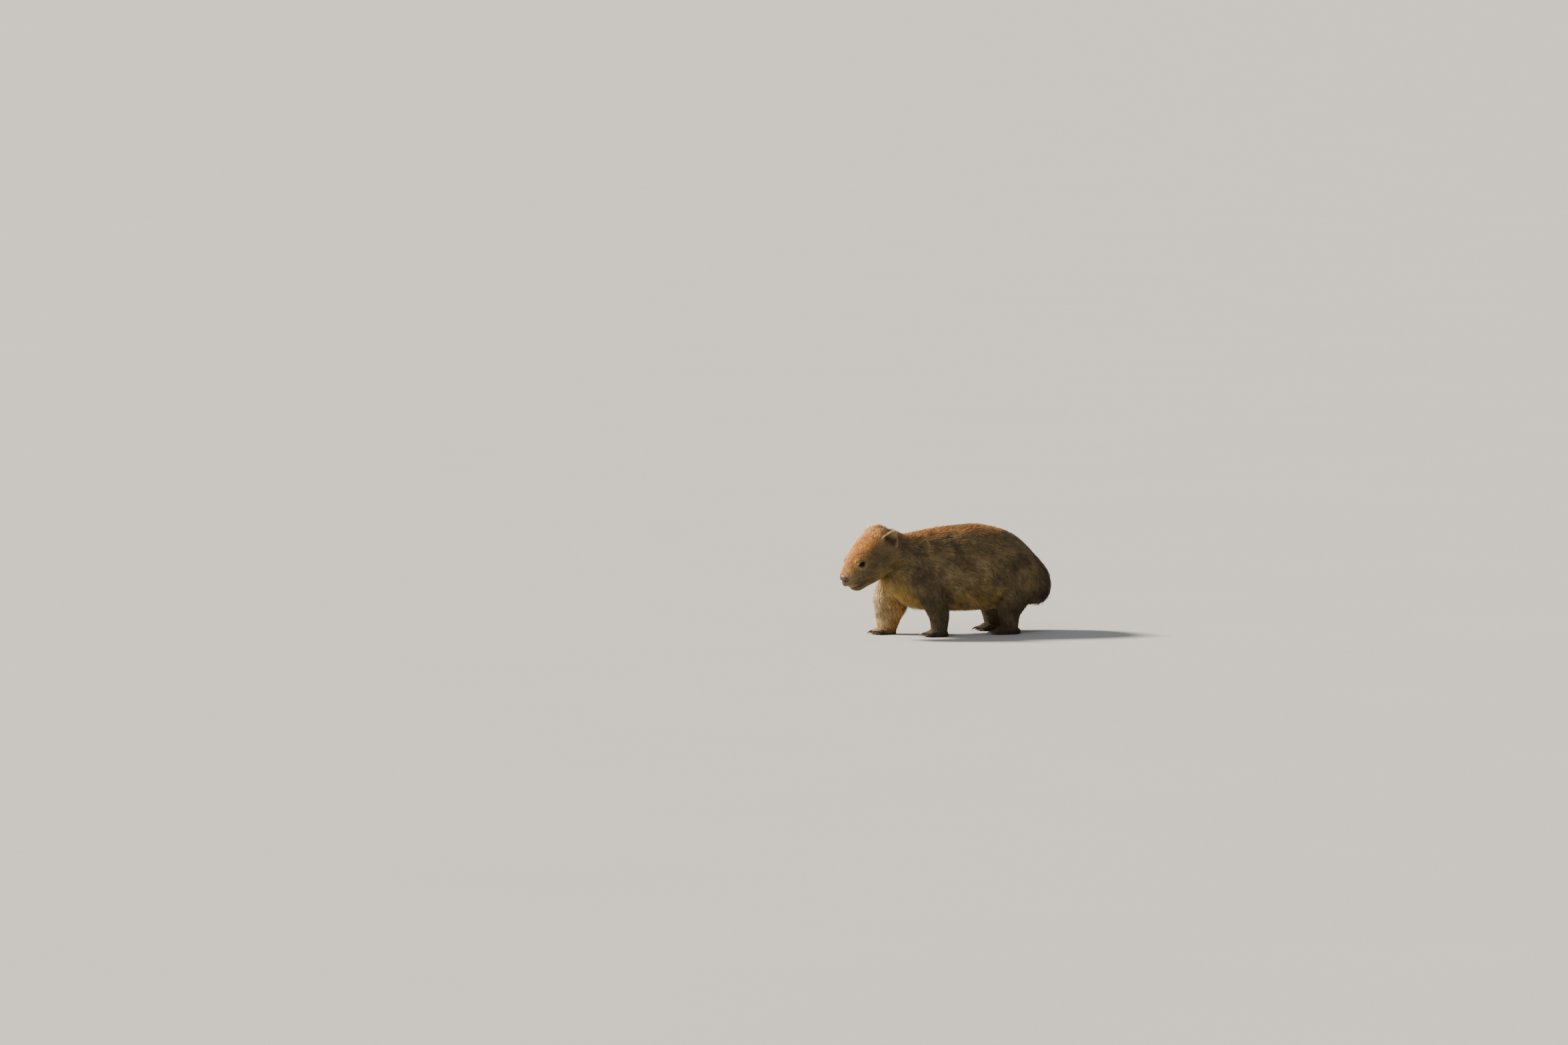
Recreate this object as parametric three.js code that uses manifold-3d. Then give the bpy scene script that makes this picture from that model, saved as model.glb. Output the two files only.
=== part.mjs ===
// A common wombat, life size, walking with its head low and turned a little to its left.
// Millimetres, +Z up. The animal faces -X, its left side is at -Y, and the origin lies on the
// floor under the middle of its box.

import * as THREE from "three";
import { mergeVertices } from "three/addons/utils/BufferGeometryUtils.js";
import Module from "manifold-3d";

const wasm = await Module();
wasm.setup();

// Driving sizes. All reach to the tips of the coat.
const BACK_HEIGHT = 343;
const BELLY_HEIGHT = 71;
const BODY_WIDTH = 254;
const TRACK = 150; // between the middles of the left and right feet
const GAP = 0.35; // between nodes that touch
const MIDDLE_SHIFT = -0.7; // puts the middle of the box over the origin
const TAU = Math.PI * 2;

// The coat: flat locks over a core. Depths are measured inwards from the coat's tips.
const CORE_DEPTH = 9;
const LEG_CORE_DEPTH = 7;
const CUFF_DEPTH = 4;
const ROOT_DEPTH = 16;
const TIP_DEPTH = 2.5;
const COAT = {
  body: { length: 102, width: 65, spacing: 69, pitch: 76, thick: 5.5, lie: 26, bend: 14 },
  leg: { length: 75, width: 54, spacing: 58, pitch: 59, thick: 4.5, lie: 5, bend: 8 },
};

// The head's own frame: x forward along the muzzle, y to the animal's left, z out of the crown.
// Its origin is midway between the eyes.
const HEAD_PLACE = new THREE.Vector3(-307.5, -42, 229);
const HEAD_PITCH = THREE.MathUtils.degToRad(36);
const HEAD_TURN = THREE.MathUtils.degToRad(12);
const HEAD_ROLL = THREE.MathUtils.degToRad(3.5);
const EYE_MIDDLE = new THREE.Vector3(0.5, 35, 5);
const EYE_RADIUS = 9.5;

const COLOURS = {
  coat: { color: 0x7a5c40, roughness: 0.95, metalness: 0 },
  face: { color: 0x8a6a48, roughness: 0.92, metalness: 0 },
  ear: { color: 0x9c7d5a, roughness: 0.92, metalness: 0 },
  nose: { color: 0x4c3d34, roughness: 0.65, metalness: 0 },
  eye: { color: 0x120c08, roughness: 0.12, metalness: 0 },
};

/** A closed body as a solid that can be joined and cut. */
function solid(geometry) {
  const bare = new THREE.BufferGeometry()
    .setIndex(geometry.index)
    .setAttribute("position", geometry.getAttribute("position"));
  const merged = mergeVertices(bare, 1e-4);
  const triVerts = new Uint32Array(merged.index.array);
  const make = () =>
    new wasm.Manifold(
      new wasm.Mesh({ numProp: 3, vertProperties: merged.attributes.position.array, triVerts }),
    );
  let made = make();
  if (made.volume() < 0) {
    for (let i = 0; i < triVerts.length; i += 3) {
      [triVerts[i + 1], triVerts[i + 2]] = [triVerts[i + 2], triVerts[i + 1]];
    }
    made = make();
  }
  return made;
}

/** The largest closed surface of a solid, filled where fusing sealed a hollow. */
function largest(made) {
  const parts = made.decompose().filter((part) => part.volume() > 0);
  return parts.reduce((best, part) => (part.volume() > best.volume() ? part : best));
}

/** A solid as the geometry of a mesh. */
function geometryOf(made) {
  const mesh = made.getMesh();
  const points = new Float32Array(mesh.numVert * 3);
  for (let i = 0; i < mesh.numVert; i += 1) {
    const from = i * mesh.numProp;
    points.set(mesh.vertProperties.subarray(from, from + 3), i * 3);
  }
  const geometry = new THREE.BufferGeometry()
    .setAttribute("position", new THREE.BufferAttribute(points, 3))
    .setIndex(new THREE.BufferAttribute(mesh.triVerts, 1));
  geometry.computeVertexNormals();
  return geometry;
}

// Locks end before the tip of a form, where all its angles meet.
const LAST_T = 0.965;

/** A closed form along a centre line. Its sections are rounded boxes, its two ends domes. */
class Form {
  constructor({ stations, side, up, domes, crown = 2.2, keel = 2.2 }) {
    const curve = (points) => new THREE.CatmullRomCurve3(points, false, "catmullrom", 0.5);
    this.line = curve(stations.map((s) => s.centre));
    this.girth = curve(stations.map((s) => new THREE.Vector3(s.half, s.up, s.down)));
    this.side = side.clone().normalize();
    this.up = up.clone().normalize();
    this.crown = crown;
    this.keel = keel;
    this.length = this.line.getLength();
    this.domes = domes.map((dome) => dome / this.length);
    this.domeShare = 0.17;
  }

  /** How far along the line t lies, and how much its section has shrunk in a dome. */
  station(t) {
    const { domes, domeShare } = this;
    const fromEnd = Math.min(t, 1 - t);
    if (fromEnd >= domeShare) {
      const middle = (t - domeShare) / (1 - 2 * domeShare);
      return { along: domes[0] + middle * (1 - domes[0] - domes[1]), shrink: 1, reach: 0 };
    }
    const turn = (Math.max(fromEnd, 0) / domeShare) * (Math.PI / 2);
    const inset = (t < 0.5 ? domes[0] : domes[1]) * (1 - Math.cos(turn));
    return {
      along: t < 0.5 ? inset : 1 - inset,
      shrink: Math.sin(turn),
      reach: (t < 0.5 ? -1 : 1) * Math.cos(turn),
    };
  }

  /** The point of the surface at t from end to end and angle from the top, swollen by grow. */
  point(t, angle, grow = 0) {
    const { along, shrink, reach } = this.station(t);
    const share = this.line.getUtoTmapping(along);
    const girth = this.girth.getPoint(share);
    const square = Math.cos(angle) > 0 ? this.crown : this.keel;
    const round = (value) => Math.sign(value) * Math.abs(value) ** (2 / square);
    const across = round(Math.sin(angle)) * (girth.x + grow) * shrink;
    const rise = round(Math.cos(angle));
    const high = rise * ((rise > 0 ? girth.y : girth.z) + grow) * shrink;
    return this.line
      .getPoint(share)
      .addScaledVector(this.line.getTangent(share), reach * grow)
      .addScaledVector(this.side, across)
      .addScaledVector(this.up, high);
  }

  /** How far the skin runs from the first end to each of many values of t, on the mean. */
  get runs() {
    const [steps, rays] = [80, 8];
    if (!this.marks) {
      this.marks = [0];
      for (let i = 1; i <= steps; i += 1) {
        let sum = 0;
        for (let ray = 0; ray < rays; ray += 1) {
          const angle = (ray / rays) * TAU;
          sum += this.point((i - 1) / steps, angle).distanceTo(this.point(i / steps, angle));
        }
        this.marks.push(this.marks[i - 1] + sum / rays);
      }
    }
    return this.marks;
  }

  /** The t that lies a distance over the skin from the first end, short of the last tip. */
  after(distance) {
    const steps = this.runs.length - 1;
    const found = this.runs.findIndex((run) => run >= distance);
    if (found < 1) return LAST_T;
    const [before, beyond] = [this.runs[found - 1], this.runs[found]];
    return Math.min((found - 1 + (distance - before) / (beyond - before)) / steps, LAST_T);
  }

  /** How far the skin runs round the section for one unit of angle. */
  roundness(t, angle) {
    const step = 0.02;
    const span = this.point(t, angle + step).distanceTo(this.point(t, angle - step));
    return Math.max(span / (2 * step), 10);
  }

  /** Angles that split the section at t into equal lengths of skin. */
  evenAngles(t, count, shift) {
    const samples = 72;
    const marks = [0];
    for (let i = 1; i <= samples; i += 1) {
      const last = this.point(t, ((i - 1) / samples) * TAU);
      marks.push(marks[i - 1] + last.distanceTo(this.point(t, (i / samples) * TAU)));
    }
    return Array.from({ length: count }, (_, i) => {
      const wanted = (((i + shift) % count) / count) * marks[samples];
      const found = marks.findIndex((mark) => mark > wanted);
      const share = (wanted - marks[found - 1]) / (marks[found] - marks[found - 1]);
      return ((found - 1 + share) / samples) * TAU;
    });
  }

  /** The length of skin round the section at t. */
  perimeter(t) {
    let sum = 0;
    for (let i = 0; i < 24; i += 1) {
      sum += this.point(t, (i / 24) * TAU).distanceTo(this.point(t, ((i + 1) / 24) * TAU));
    }
    return sum;
  }

  /** Whether the form, swollen by grow, holds a point. */
  holds(place, grow = 0) {
    const samples = 40;
    for (let i = 0; i <= samples; i += 1) {
      const t = i / samples;
      const { along, shrink } = this.station(t);
      const share = this.line.getUtoTmapping(along);
      const offset = place.clone().sub(this.line.getPoint(share));
      const girth = this.girth.getPoint(share);
      const across = offset.dot(this.side) / ((girth.x + grow) * shrink || 1);
      const high = offset.dot(this.up);
      const rise = high / (((high > 0 ? girth.y : girth.z) + grow) * shrink || 1);
      const ahead = Math.abs(offset.dot(this.line.getTangent(share)));
      if (ahead < this.length / samples && Math.hypot(across, rise) < 1) return true;
    }
    return false;
  }

  /** The form as a solid, swollen by grow. */
  solid(sides, rings, grow = 0) {
    const geometry = new THREE.SphereGeometry(1, sides, rings);
    const place = geometry.getAttribute("position");
    const uv = geometry.getAttribute("uv");
    for (let i = 0; i < place.count; i += 1) {
      const point = this.point(1 - uv.getY(i), uv.getX(i) * TAU, grow);
      place.setXYZ(i, point.x, point.y, point.z);
    }
    return solid(geometry);
  }
}

const vector = (x, y, z) => new THREE.Vector3(x, y, z);
const TO_LEFT = vector(0, -1, 0);
const UPWARDS = vector(0, 0, 1);

/** Stations of an upright section each, from its top, bottom, half width and widest height. */
function uprightStations(rows) {
  return rows.map(({ x, y = 0, top, bottom, half, widest }) => ({
    centre: vector(x, y, widest),
    half,
    up: top - widest,
    down: widest - bottom,
  }));
}

// The neck and trunk, from inside the head to the rump
const BODY_ROWS = [
  { x: -225, y: -22, top: 338, bottom: 178, half: 54, widest: 252 },
  { x: -192, y: -16, top: 341, bottom: 156, half: 64, widest: 242 },
  { x: -165, y: -11, top: 332, bottom: 137, half: 75, widest: 229 },
  { x: -138, y: -6, top: 322, bottom: 115, half: 88, widest: 213 },
  { x: -100, y: -1, top: 323, bottom: 94, half: 102, widest: 196 },
  { x: -60, top: 329, bottom: 82, half: 111, widest: 188 },
  { x: -8, top: 336, bottom: 74, half: 118, widest: 183 },
  { x: 50, top: 341, bottom: BELLY_HEIGHT, half: 124, widest: 180 },
  { x: 115, top: BACK_HEIGHT, bottom: 72, half: BODY_WIDTH / 2, widest: 178 },
  { x: 185, top: 330, bottom: 76, half: 125, widest: 176 },
  { x: 240, top: 304, bottom: 76, half: 117, widest: 170 },
  { x: 290, top: 259, bottom: 78, half: 103, widest: 160 },
  { x: 330, top: 217, bottom: 84, half: 86, widest: 150 },
  { x: 361, top: 188, bottom: 96, half: 72, widest: 146 },
];

// The head above the line of the mouth, from the nape to the muzzle, in its own frame
const HEAD_ROWS = [
  { x: -160, top: 30, bottom: -80, half: 50, widest: -36 },
  { x: -130, top: 47, bottom: -90, half: 59, widest: -34 },
  { x: -100, top: 53, bottom: -93, half: 67, widest: -32 },
  { x: -68, top: 51, bottom: -87, half: 70, widest: -29 },
  { x: -34, top: 45, bottom: -72, half: 63, widest: -25 },
  { x: -5, top: 36, bottom: -58, half: 53, widest: -20 },
  { x: 16, top: 25.5, bottom: -53, half: 46, widest: -18 },
  { x: 34, top: 16.5, bottom: -52, half: 42, widest: -18 },
  { x: 50, top: 10, bottom: -50, half: 39, widest: -19 },
  { x: 62, top: 4, bottom: -46, half: 34, widest: -20 },
];

const bodyForm = new Form({
  stations: uprightStations(BODY_ROWS),
  side: TO_LEFT,
  up: UPWARDS,
  domes: [30, 38],
});
const headForm = new Form({
  stations: uprightStations(HEAD_ROWS),
  side: vector(0, 1, 0),
  up: UPWARDS,
  domes: [30, 12],
  crown: 2,
  keel: 2.7,
});

// The head group's place: its own x points forward and down, its own y to the animal's left
const headGroup = new THREE.Group();
headGroup.position.copy(HEAD_PLACE);
headGroup.rotation.set(-HEAD_ROLL, HEAD_PITCH, Math.PI + HEAD_TURN, "ZYX");
headGroup.updateMatrix();
const inBody = (made) => made.transform(headGroup.matrix.elements);

/** An ellipsoid as a solid. */
function ellipsoid(centre, radii, sides = 12, rings = 8) {
  const geometry = new THREE.SphereGeometry(1, sides, rings)
    .rotateX(Math.PI / 2)
    .scale(...radii)
    .translate(...centre);
  return solid(geometry);
}

/** A box as a solid, from its lowest to its highest corner. */
function box(low, high) {
  const size = high.map((value, i) => value - low[i]);
  const middle = high.map((value, i) => (value + low[i]) / 2);
  return solid(new THREE.BoxGeometry(...size).translate(...middle));
}

const join = (solids) => solids.reduce((all, one) => all.add(one));

// Eyes, each in a socket inside a ring of lids
function eye(side, grow = 0) {
  const { x, y, z } = EYE_MIDDLE;
  const geometry = new THREE.SphereGeometry(EYE_RADIUS + grow, 12, 8);
  return solid(geometry.translate(x, side * y, z));
}

/** A shape given about the eye's axis, set in its place on one side of the head. */
function atEye(geometry, side, out) {
  return solid(
    geometry
      .rotateZ(THREE.MathUtils.degToRad(3))
      .rotateX(Math.PI / 2)
      .rotateZ(side * THREE.MathUtils.degToRad(-20))
      .translate(EYE_MIDDLE.x + out * 0.3, side * (EYE_MIDDLE.y + out), EYE_MIDDLE.z),
  );
}
const lids = (side) => atEye(new THREE.TorusGeometry(8.4, 2.6, 5, 14).scale(1.16, 0.92, 1), side, 8);
const socket = (side) => atEye(new THREE.SphereGeometry(1, 10, 5).scale(9.4, 7.4, 6), side, 10);

// Nose
const noseForm = new Form({
  stations: [
    { centre: vector(44, 0, -8), half: 15, up: 11, down: 11 },
    { centre: vector(56, 0, -9), half: 19, up: 14, down: 14 },
    { centre: vector(70, 0, -11), half: 18, up: 12, down: 13 },
  ],
  side: vector(0, 1, 0),
  up: UPWARDS,
  domes: [5, 9],
  crown: 2.4,
  keel: 2.1,
});
const nosePad = (grow = 0) => noseForm.solid(14, 9, grow);

function nostril(side) {
  return solid(
    new THREE.SphereGeometry(1, 9, 6)
      .scale(7, 4.4, 2.8)
      .rotateX(side * -0.6)
      .translate(70, side * 10, -12.5),
  );
}

// Lower jaw
const JAW_ROWS = [
  { x: -64, top: -40, bottom: -90, half: 50, widest: -60 },
  { x: -40, top: -36, bottom: -90, half: 53, widest: -58 },
  { x: -12, top: -30, bottom: -86, half: 46, widest: -54 },
  { x: 12, top: -30, bottom: -80, half: 39, widest: -54 },
  { x: 32, top: -32, bottom: -77, half: 33, widest: -55 },
  { x: 56, top: -38, bottom: -71, half: 25, widest: -56 },
];
const jawForm = new Form({
  stations: uprightStations(JAW_ROWS),
  side: vector(0, 1, 0),
  up: UPWARDS,
  domes: [16, 14],
});
const jaw = (grow = 0) => jawForm.solid(16, 10, grow);

/** The head without its jaw, nose, eyes and ears, in its own frame. */
function headCore(grow = 0) {
  const lips = [1, -1].map((side) =>
    ellipsoid([53, side * 13, -31], [17 + grow, 18 + grow, 15 + grow], 10, 7),
  );
  return join([headForm.solid(22, 19, grow), ...lips]);
}

// Ears
const EAR_LENGTH = 63;
const EAR_ROOT = vector(-95, 50, -6);
const EAR_TIP = vector(-139, 63, 25);

/** One ear's outer or inner shape, by how much smaller than the outer one it is. */
function earShape(side, inset, forwards) {
  const along = EAR_TIP.clone().sub(EAR_ROOT).normalize();
  const facing = vector(0.55, 0.8, 0).projectOnPlane(along).normalize();
  const across = along.clone().cross(facing);
  const geometry = new THREE.SphereGeometry(1, 14, 9);
  const place = geometry.getAttribute("position");
  const halfLength = EAR_LENGTH / 2 - inset;
  for (let i = 0; i < place.count; i += 1) {
    const p = vector().fromBufferAttribute(place, i);
    const width = 26 * (1 - 0.34 * p.y) - inset;
    const depth = 11 - inset * 0.8;
    const point = EAR_ROOT.clone()
      .addScaledVector(along, EAR_LENGTH * 0.42 + p.y * halfLength)
      .addScaledVector(across, p.x * width)
      .addScaledVector(facing, p.z * depth + forwards);
    place.setXYZ(i, point.x, point.y * side, point.z);
  }
  return solid(geometry);
}

function ear(side) {
  return earShape(side, 0, 0).subtract(earShape(side, 4, 7.5));
}

// Legs
/** Stations of a level section each, from its height, middle and half sizes. */
function levelStations(rows, side) {
  return rows.map(({ z, x, y, long, wide }) => ({
    centre: vector(x, side * y, z),
    half: wide,
    up: long,
    down: long,
  }));
}

const LEGS = {
  foreleg_left: {
    side: -1,
    foot: { x: -50, y: TRACK / 2 + 3, long: 33, wide: 30, toes: 5, turn: 6 },
    rows: [
      { z: 235, x: -112, y: 66, long: 40, wide: 24 },
      { z: 205, x: -104, y: 73, long: 45, wide: 30 },
      { z: 165, x: -92, y: 80, long: 50, wide: 34 },
      { z: 120, x: -68, y: 82, long: 48, wide: 34 },
      { z: 85, x: -52, y: 80, long: 41, wide: 32 },
      { z: 52, x: -43, y: 78, long: 34, wide: 30 },
      { z: 4, x: -43, y: 78, long: 28, wide: 27 },
    ],
  },
  foreleg_right: {
    side: 1,
    foot: { x: -155, y: TRACK / 2 + 1, long: 34, wide: 30, toes: 5, turn: 5 },
    rows: [
      { z: 240, x: -108, y: 64, long: 40, wide: 24 },
      { z: 210, x: -112, y: 72, long: 45, wide: 30 },
      { z: 170, x: -122, y: 80, long: 50, wide: 34 },
      { z: 125, x: -134, y: 82, long: 56, wide: 36 },
      { z: 88, x: -134, y: 80, long: 56, wide: 36 },
      { z: 52, x: -143, y: 77, long: 45, wide: 33 },
      { z: 4, x: -150, y: 76, long: 33, wide: 28 },
    ],
  },
  hindleg_left: {
    side: -1,
    foot: { x: 187, y: TRACK / 2 + 2, long: 42, wide: 26, toes: 4, turn: 7 },
    rows: [
      { z: 246, x: 222, y: 54, long: 44, wide: 34 },
      { z: 215, x: 226, y: 72, long: 56, wide: 40 },
      { z: 172, x: 226, y: 84, long: 64, wide: 41 },
      { z: 130, x: 218, y: 88, long: 64, wide: 39 },
      { z: 92, x: 203, y: 84, long: 51, wide: 35 },
      { z: 60, x: 196, y: 79, long: 38, wide: 30 },
      { z: 4, x: 198, y: 77, long: 28, wide: 25 },
    ],
  },
  hindleg_right: {
    side: 1,
    foot: { x: 203, y: TRACK / 2, long: 42, wide: 26, toes: 4, turn: 7 },
    rows: [
      { z: 246, x: 224, y: 54, long: 44, wide: 34 },
      { z: 215, x: 228, y: 72, long: 56, wide: 40 },
      { z: 172, x: 234, y: 84, long: 64, wide: 41 },
      { z: 130, x: 228, y: 88, long: 64, wide: 39 },
      { z: 92, x: 214, y: 83, long: 50, wide: 35 },
      { z: 60, x: 210, y: 78, long: 38, wide: 30 },
      { z: 4, x: 213, y: 76, long: 28, wide: 25 },
    ],
  },
};
const ANKLE_HEIGHT = 27; // where a foot is parted from its leg

// Where each leg is parted from the body: an egg round it, from its middle and radii
const JOINTS = {
  foreleg_left: { centre: [-76, -96, 88], radii: [88, 62, 130] },
  foreleg_right: { centre: [-134, 96, 88], radii: [86, 62, 134] },
  hindleg_left: { centre: [214, -98, 90], radii: [88, 64, 138] },
  hindleg_right: { centre: [226, 98, 90], radii: [88, 64, 138] },
};

function jointRegion(name, grow) {
  const { centre, radii } = JOINTS[name];
  return ellipsoid(
    centre,
    radii.map((radius) => radius + grow),
    18,
    12,
  );
}

/** One leg down to the sole's level, as a form with level sections. */
function legForm({ side, rows }) {
  return new Form({
    stations: levelStations(rows, side),
    side: vector(0, side, 0),
    up: vector(-1, 0, 0),
    domes: [26, 6],
  });
}

/** A claw along a curve, from a cone. */
function bentCone(curve, radii, sides, steps) {
  const geometry = new THREE.ConeGeometry(1, 1, sides, steps);
  const place = geometry.getAttribute("position");
  for (let i = 0; i < place.count; i += 1) {
    const p = vector().fromBufferAttribute(place, i);
    const s = p.y + 0.5;
    const tangent = curve.getTangent(s);
    const across = UPWARDS.clone().cross(tangent).normalize();
    const out = tangent.clone().cross(across);
    const point = curve
      .getPoint(s)
      .addScaledVector(across, p.x * radii[0])
      .addScaledVector(out, p.z * radii[1]);
    place.setXYZ(i, point.x, point.y, point.z);
  }
  return solid(geometry);
}

/** One foot with its toes and claws, standing on the floor. */
function foot({ side, foot: { x, y, long, wide, toes, turn } }) {
  const parts = [ellipsoid([3, 0, 9], [long, wide, 21], 12, 6)];
  for (let i = 0; i < toes; i += 1) {
    const share = (i / (toes - 1)) * 2 - 1;
    const out = share * wide * 0.76;
    const front = -long * (0.86 - 0.2 * share * share);
    parts.push(ellipsoid([front, out, 7], [14, 6.8, 9], 6, 4));
    const claw = new THREE.QuadraticBezierCurve3(
      vector(front - 6, out, 8.5),
      vector(front - 19, out * 1.06, 11),
      vector(front - 28, out * 1.1, 1.2),
    );
    parts.push(bentCone(claw, [2.6, 3.8], 4, 2));
  }
  return join(parts)
    .rotate([0, 0, side * turn])
    .translate([x, side * y, 0]);
}

// Tail
const tailForm = new Form({
  stations: [
    { centre: vector(330, 0, 204), half: 10, up: 10, down: 10 },
    { centre: vector(345, 0, 192), half: 9, up: 9, down: 9 },
    { centre: vector(354, 0, 176), half: 7, up: 7, down: 7 },
    { centre: vector(357, 0, 165), half: 5, up: 5, down: 5 },
  ],
  side: TO_LEFT,
  up: vector(1, 0, 1),
  domes: [6, 8],
});

/** A repeatable random number from 0 to 1. */
function makeRandom(seed) {
  let state = seed;
  return () => {
    state = (Math.imul(state, 1664525) + 1013904223) >>> 0;
    return state / 4294967296;
  };
}

/** One flat, tapered lock that lies along a form. It's rooted in the core and bends as it runs. */
class Lock {
  constructor(sizes) {
    Object.assign(this, sizes);
  }

  /** A point of the lock: its share of the length, how far aside, and how high over its middle. */
  point(share, aside, high) {
    const { form, start, angle, length, lie, bend } = this;
    const turn = lie + bend * share * 0.5;
    const heading = lie + bend * share;
    const ahead = share * length * Math.cos(turn) - aside * Math.sin(heading);
    const round = share * length * Math.sin(turn) + aside * Math.cos(heading);
    const depth = TIP_DEPTH + (ROOT_DEPTH - TIP_DEPTH) * (1 - share) ** 1.7;
    const t = form.after(start + ahead);
    return form.point(t, angle + round / form.roundness(t, angle), high - depth);
  }

  solid() {
    const geometry = new THREE.ConeGeometry(1, 1, 3, 3);
    const place = geometry.getAttribute("position");
    for (let i = 0; i < place.count; i += 1) {
      const share = place.getY(i) + 0.5;
      const radius = Math.hypot(place.getX(i), place.getZ(i)) || 1;
      const full = share === 1 ? 0 : Math.sin(Math.PI * (0.22 + 0.78 * share)) ** 0.8;
      const aside = (place.getX(i) / radius / Math.sin(TAU / 3)) * (this.width / 2) * full;
      const high = (place.getZ(i) > 0 ? 1 : -0.15) * this.thick * full;
      const point = this.point(share, aside, high);
      place.setXYZ(i, point.x, point.y, point.z);
    }
    return solid(geometry);
  }
}

/** All locks of a form in staggered rows, each lying back and down. */
function locksOf(form, size, { from, to, seed, down }) {
  const random = makeRandom(seed);
  const vary = (value, share) => value * (1 + (random() - 0.5) * share);
  const locks = [];
  for (let row = 0; from + row * size.pitch < to; row += 1) {
    const start = from + row * size.pitch;
    const t = form.after(start);
    const count = Math.max(5, Math.round(form.perimeter(t) / size.spacing));
    form.evenAngles(t, count, row % 2 ? 0.5 : 0).forEach((angle) => {
      locks.push(
        new Lock({
          form,
          start: start + (random() - 0.5) * 0.12 * size.pitch,
          angle,
          length: vary(size.length, 0.2),
          width: vary(size.width, 0.1),
          thick: size.thick,
          lie: THREE.MathUtils.degToRad(vary(size.lie, 0.5)) * down(angle),
          bend: THREE.MathUtils.degToRad(vary(size.bend, 0.8)) * down(angle),
        }),
      );
    });
  }
  return locks;
}

// Where the trunk is parted
const NECK_SEAM = -118;
const RUMP_SEAM = 172;
const FAR = 600;

const between = (low, high) => box([low, -FAR, -FAR], [high, FAR, FAR]);
const above = (low) => box([-FAR, -FAR, low], [FAR, FAR, FAR]);

const legCore = (form, depth = LEG_CORE_DEPTH) => form.solid(11, 8, -depth);

/** The locks of the trunk and the legs, but for those that another part of the body covers. */
function coat(legs) {
  const covered = (lock, forms) =>
    forms.some((form) => form.holds(lock.point(0.35, 0, 0), -CORE_DEPTH));
  const legForms = legs.map((leg) => leg.form);
  const trunk = locksOf(bodyForm, COAT.body, { from: 66, to: 690, seed: 7, down: Math.sin });
  const limbs = legForms.flatMap((form, i) =>
    locksOf(form, COAT.leg, { from: 40, to: 290, seed: 20 + i, down: () => 1 }),
  );
  return [
    ...trunk.filter((lock) => !covered(lock, legForms)),
    ...limbs.filter((lock) => !covered(lock, [bodyForm])),
  ].map((lock) => lock.solid());
}

function build() {
  const sides = [
    ["left", 1],
    ["right", -1],
  ];
  const earsGrown = sides.map(([, side]) => earShape(side, -GAP, 0));
  const headGrown = inBody(join([headCore(GAP), jaw(GAP), ...earsGrown]));
  const legs = Object.entries(LEGS).map(([name, spec]) => ({
    name,
    form: legForm(spec),
    region: jointRegion(name, 0),
    regionGrown: jointRegion(name, GAP),
    paw: foot(spec),
  }));
  const bodyCore = bodyForm.solid(18, 16, -CORE_DEPTH);
  const flesh = join([bodyCore, ...legs.map(({ form }) => legCore(form)), ...coat(legs)]);
  const body = flesh
    .subtract(headGrown)
    .subtract(join(legs.map((leg) => leg.regionGrown)))
    .subtract(tailForm.solid(8, 8, GAP).subtract(bodyCore));
  const nodes = {};
  nodes.neck = body.intersect(between(-FAR, NECK_SEAM));
  nodes.torso = body.intersect(between(NECK_SEAM + GAP, RUMP_SEAM));
  nodes.rump = body.intersect(between(RUMP_SEAM + GAP, FAR));
  nodes.tail = tailForm.solid(8, 8).subtract(bodyForm.solid(18, 16, GAP - CORE_DEPTH));

  const below = box([-FAR, -FAR, 0], [FAR, FAR, ANKLE_HEIGHT - GAP]);
  legs.forEach(({ name, form, region, paw }) => {
    nodes[name] = flesh.subtract(headGrown).intersect(region).intersect(above(ANKLE_HEIGHT));
    nodes[name.replace("leg", "foot")] = paw.add(legCore(form, CUFF_DEPTH)).intersect(below);
  });

  const eyesGrown = sides.map(([, side]) => eye(side, GAP));
  nodes.nose = nosePad().subtract(join([nostril(1), nostril(-1)]));
  nodes.head = headCore()
    .subtract(socket(1).add(socket(-1)))
    .add(lids(1).add(lids(-1)))
    .subtract(join([...eyesGrown, nosePad(GAP)]));
  nodes.lower_jaw = jaw().subtract(headCore(GAP)).subtract(nosePad(GAP));
  sides.forEach(([word, side]) => {
    nodes[`ear_${word}`] = ear(side).subtract(headCore(GAP));
    nodes[`eye_${word}`] = eye(side);
  });
  return nodes;
}

const HEAD_NODES = ["head", "lower_jaw", "nose", "ear_left", "ear_right", "eye_left", "eye_right"];
const LOOKS = {
  nose: COLOURS.nose,
  eye_left: COLOURS.eye,
  eye_right: COLOURS.eye,
  ear_left: COLOURS.ear,
  ear_right: COLOURS.ear,
  head: COLOURS.face,
  lower_jaw: COLOURS.face,
};

const animal = new THREE.Group();
animal.name = "wombat";
animal.position.x = -MIDDLE_SHIFT;
animal.add(headGroup);
for (const [name, made] of Object.entries(build())) {
  const mesh = new THREE.Mesh(
    geometryOf(largest(solid(geometryOf(largest(made))))),
    new THREE.MeshStandardMaterial(LOOKS[name] ?? COLOURS.coat),
  );
  mesh.name = name;
  (HEAD_NODES.includes(name) ? headGroup : animal).add(mesh);
}

export default animal;
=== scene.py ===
"""A common wombat, life size and still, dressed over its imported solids."""

import sys

import logging
import math
from collections.abc import Iterable
from dataclasses import dataclass, field
from enum import Enum

import bmesh
import bpy
import numpy as np
from mathutils import Matrix, Vector
from mathutils.kdtree import KDTree

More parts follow.
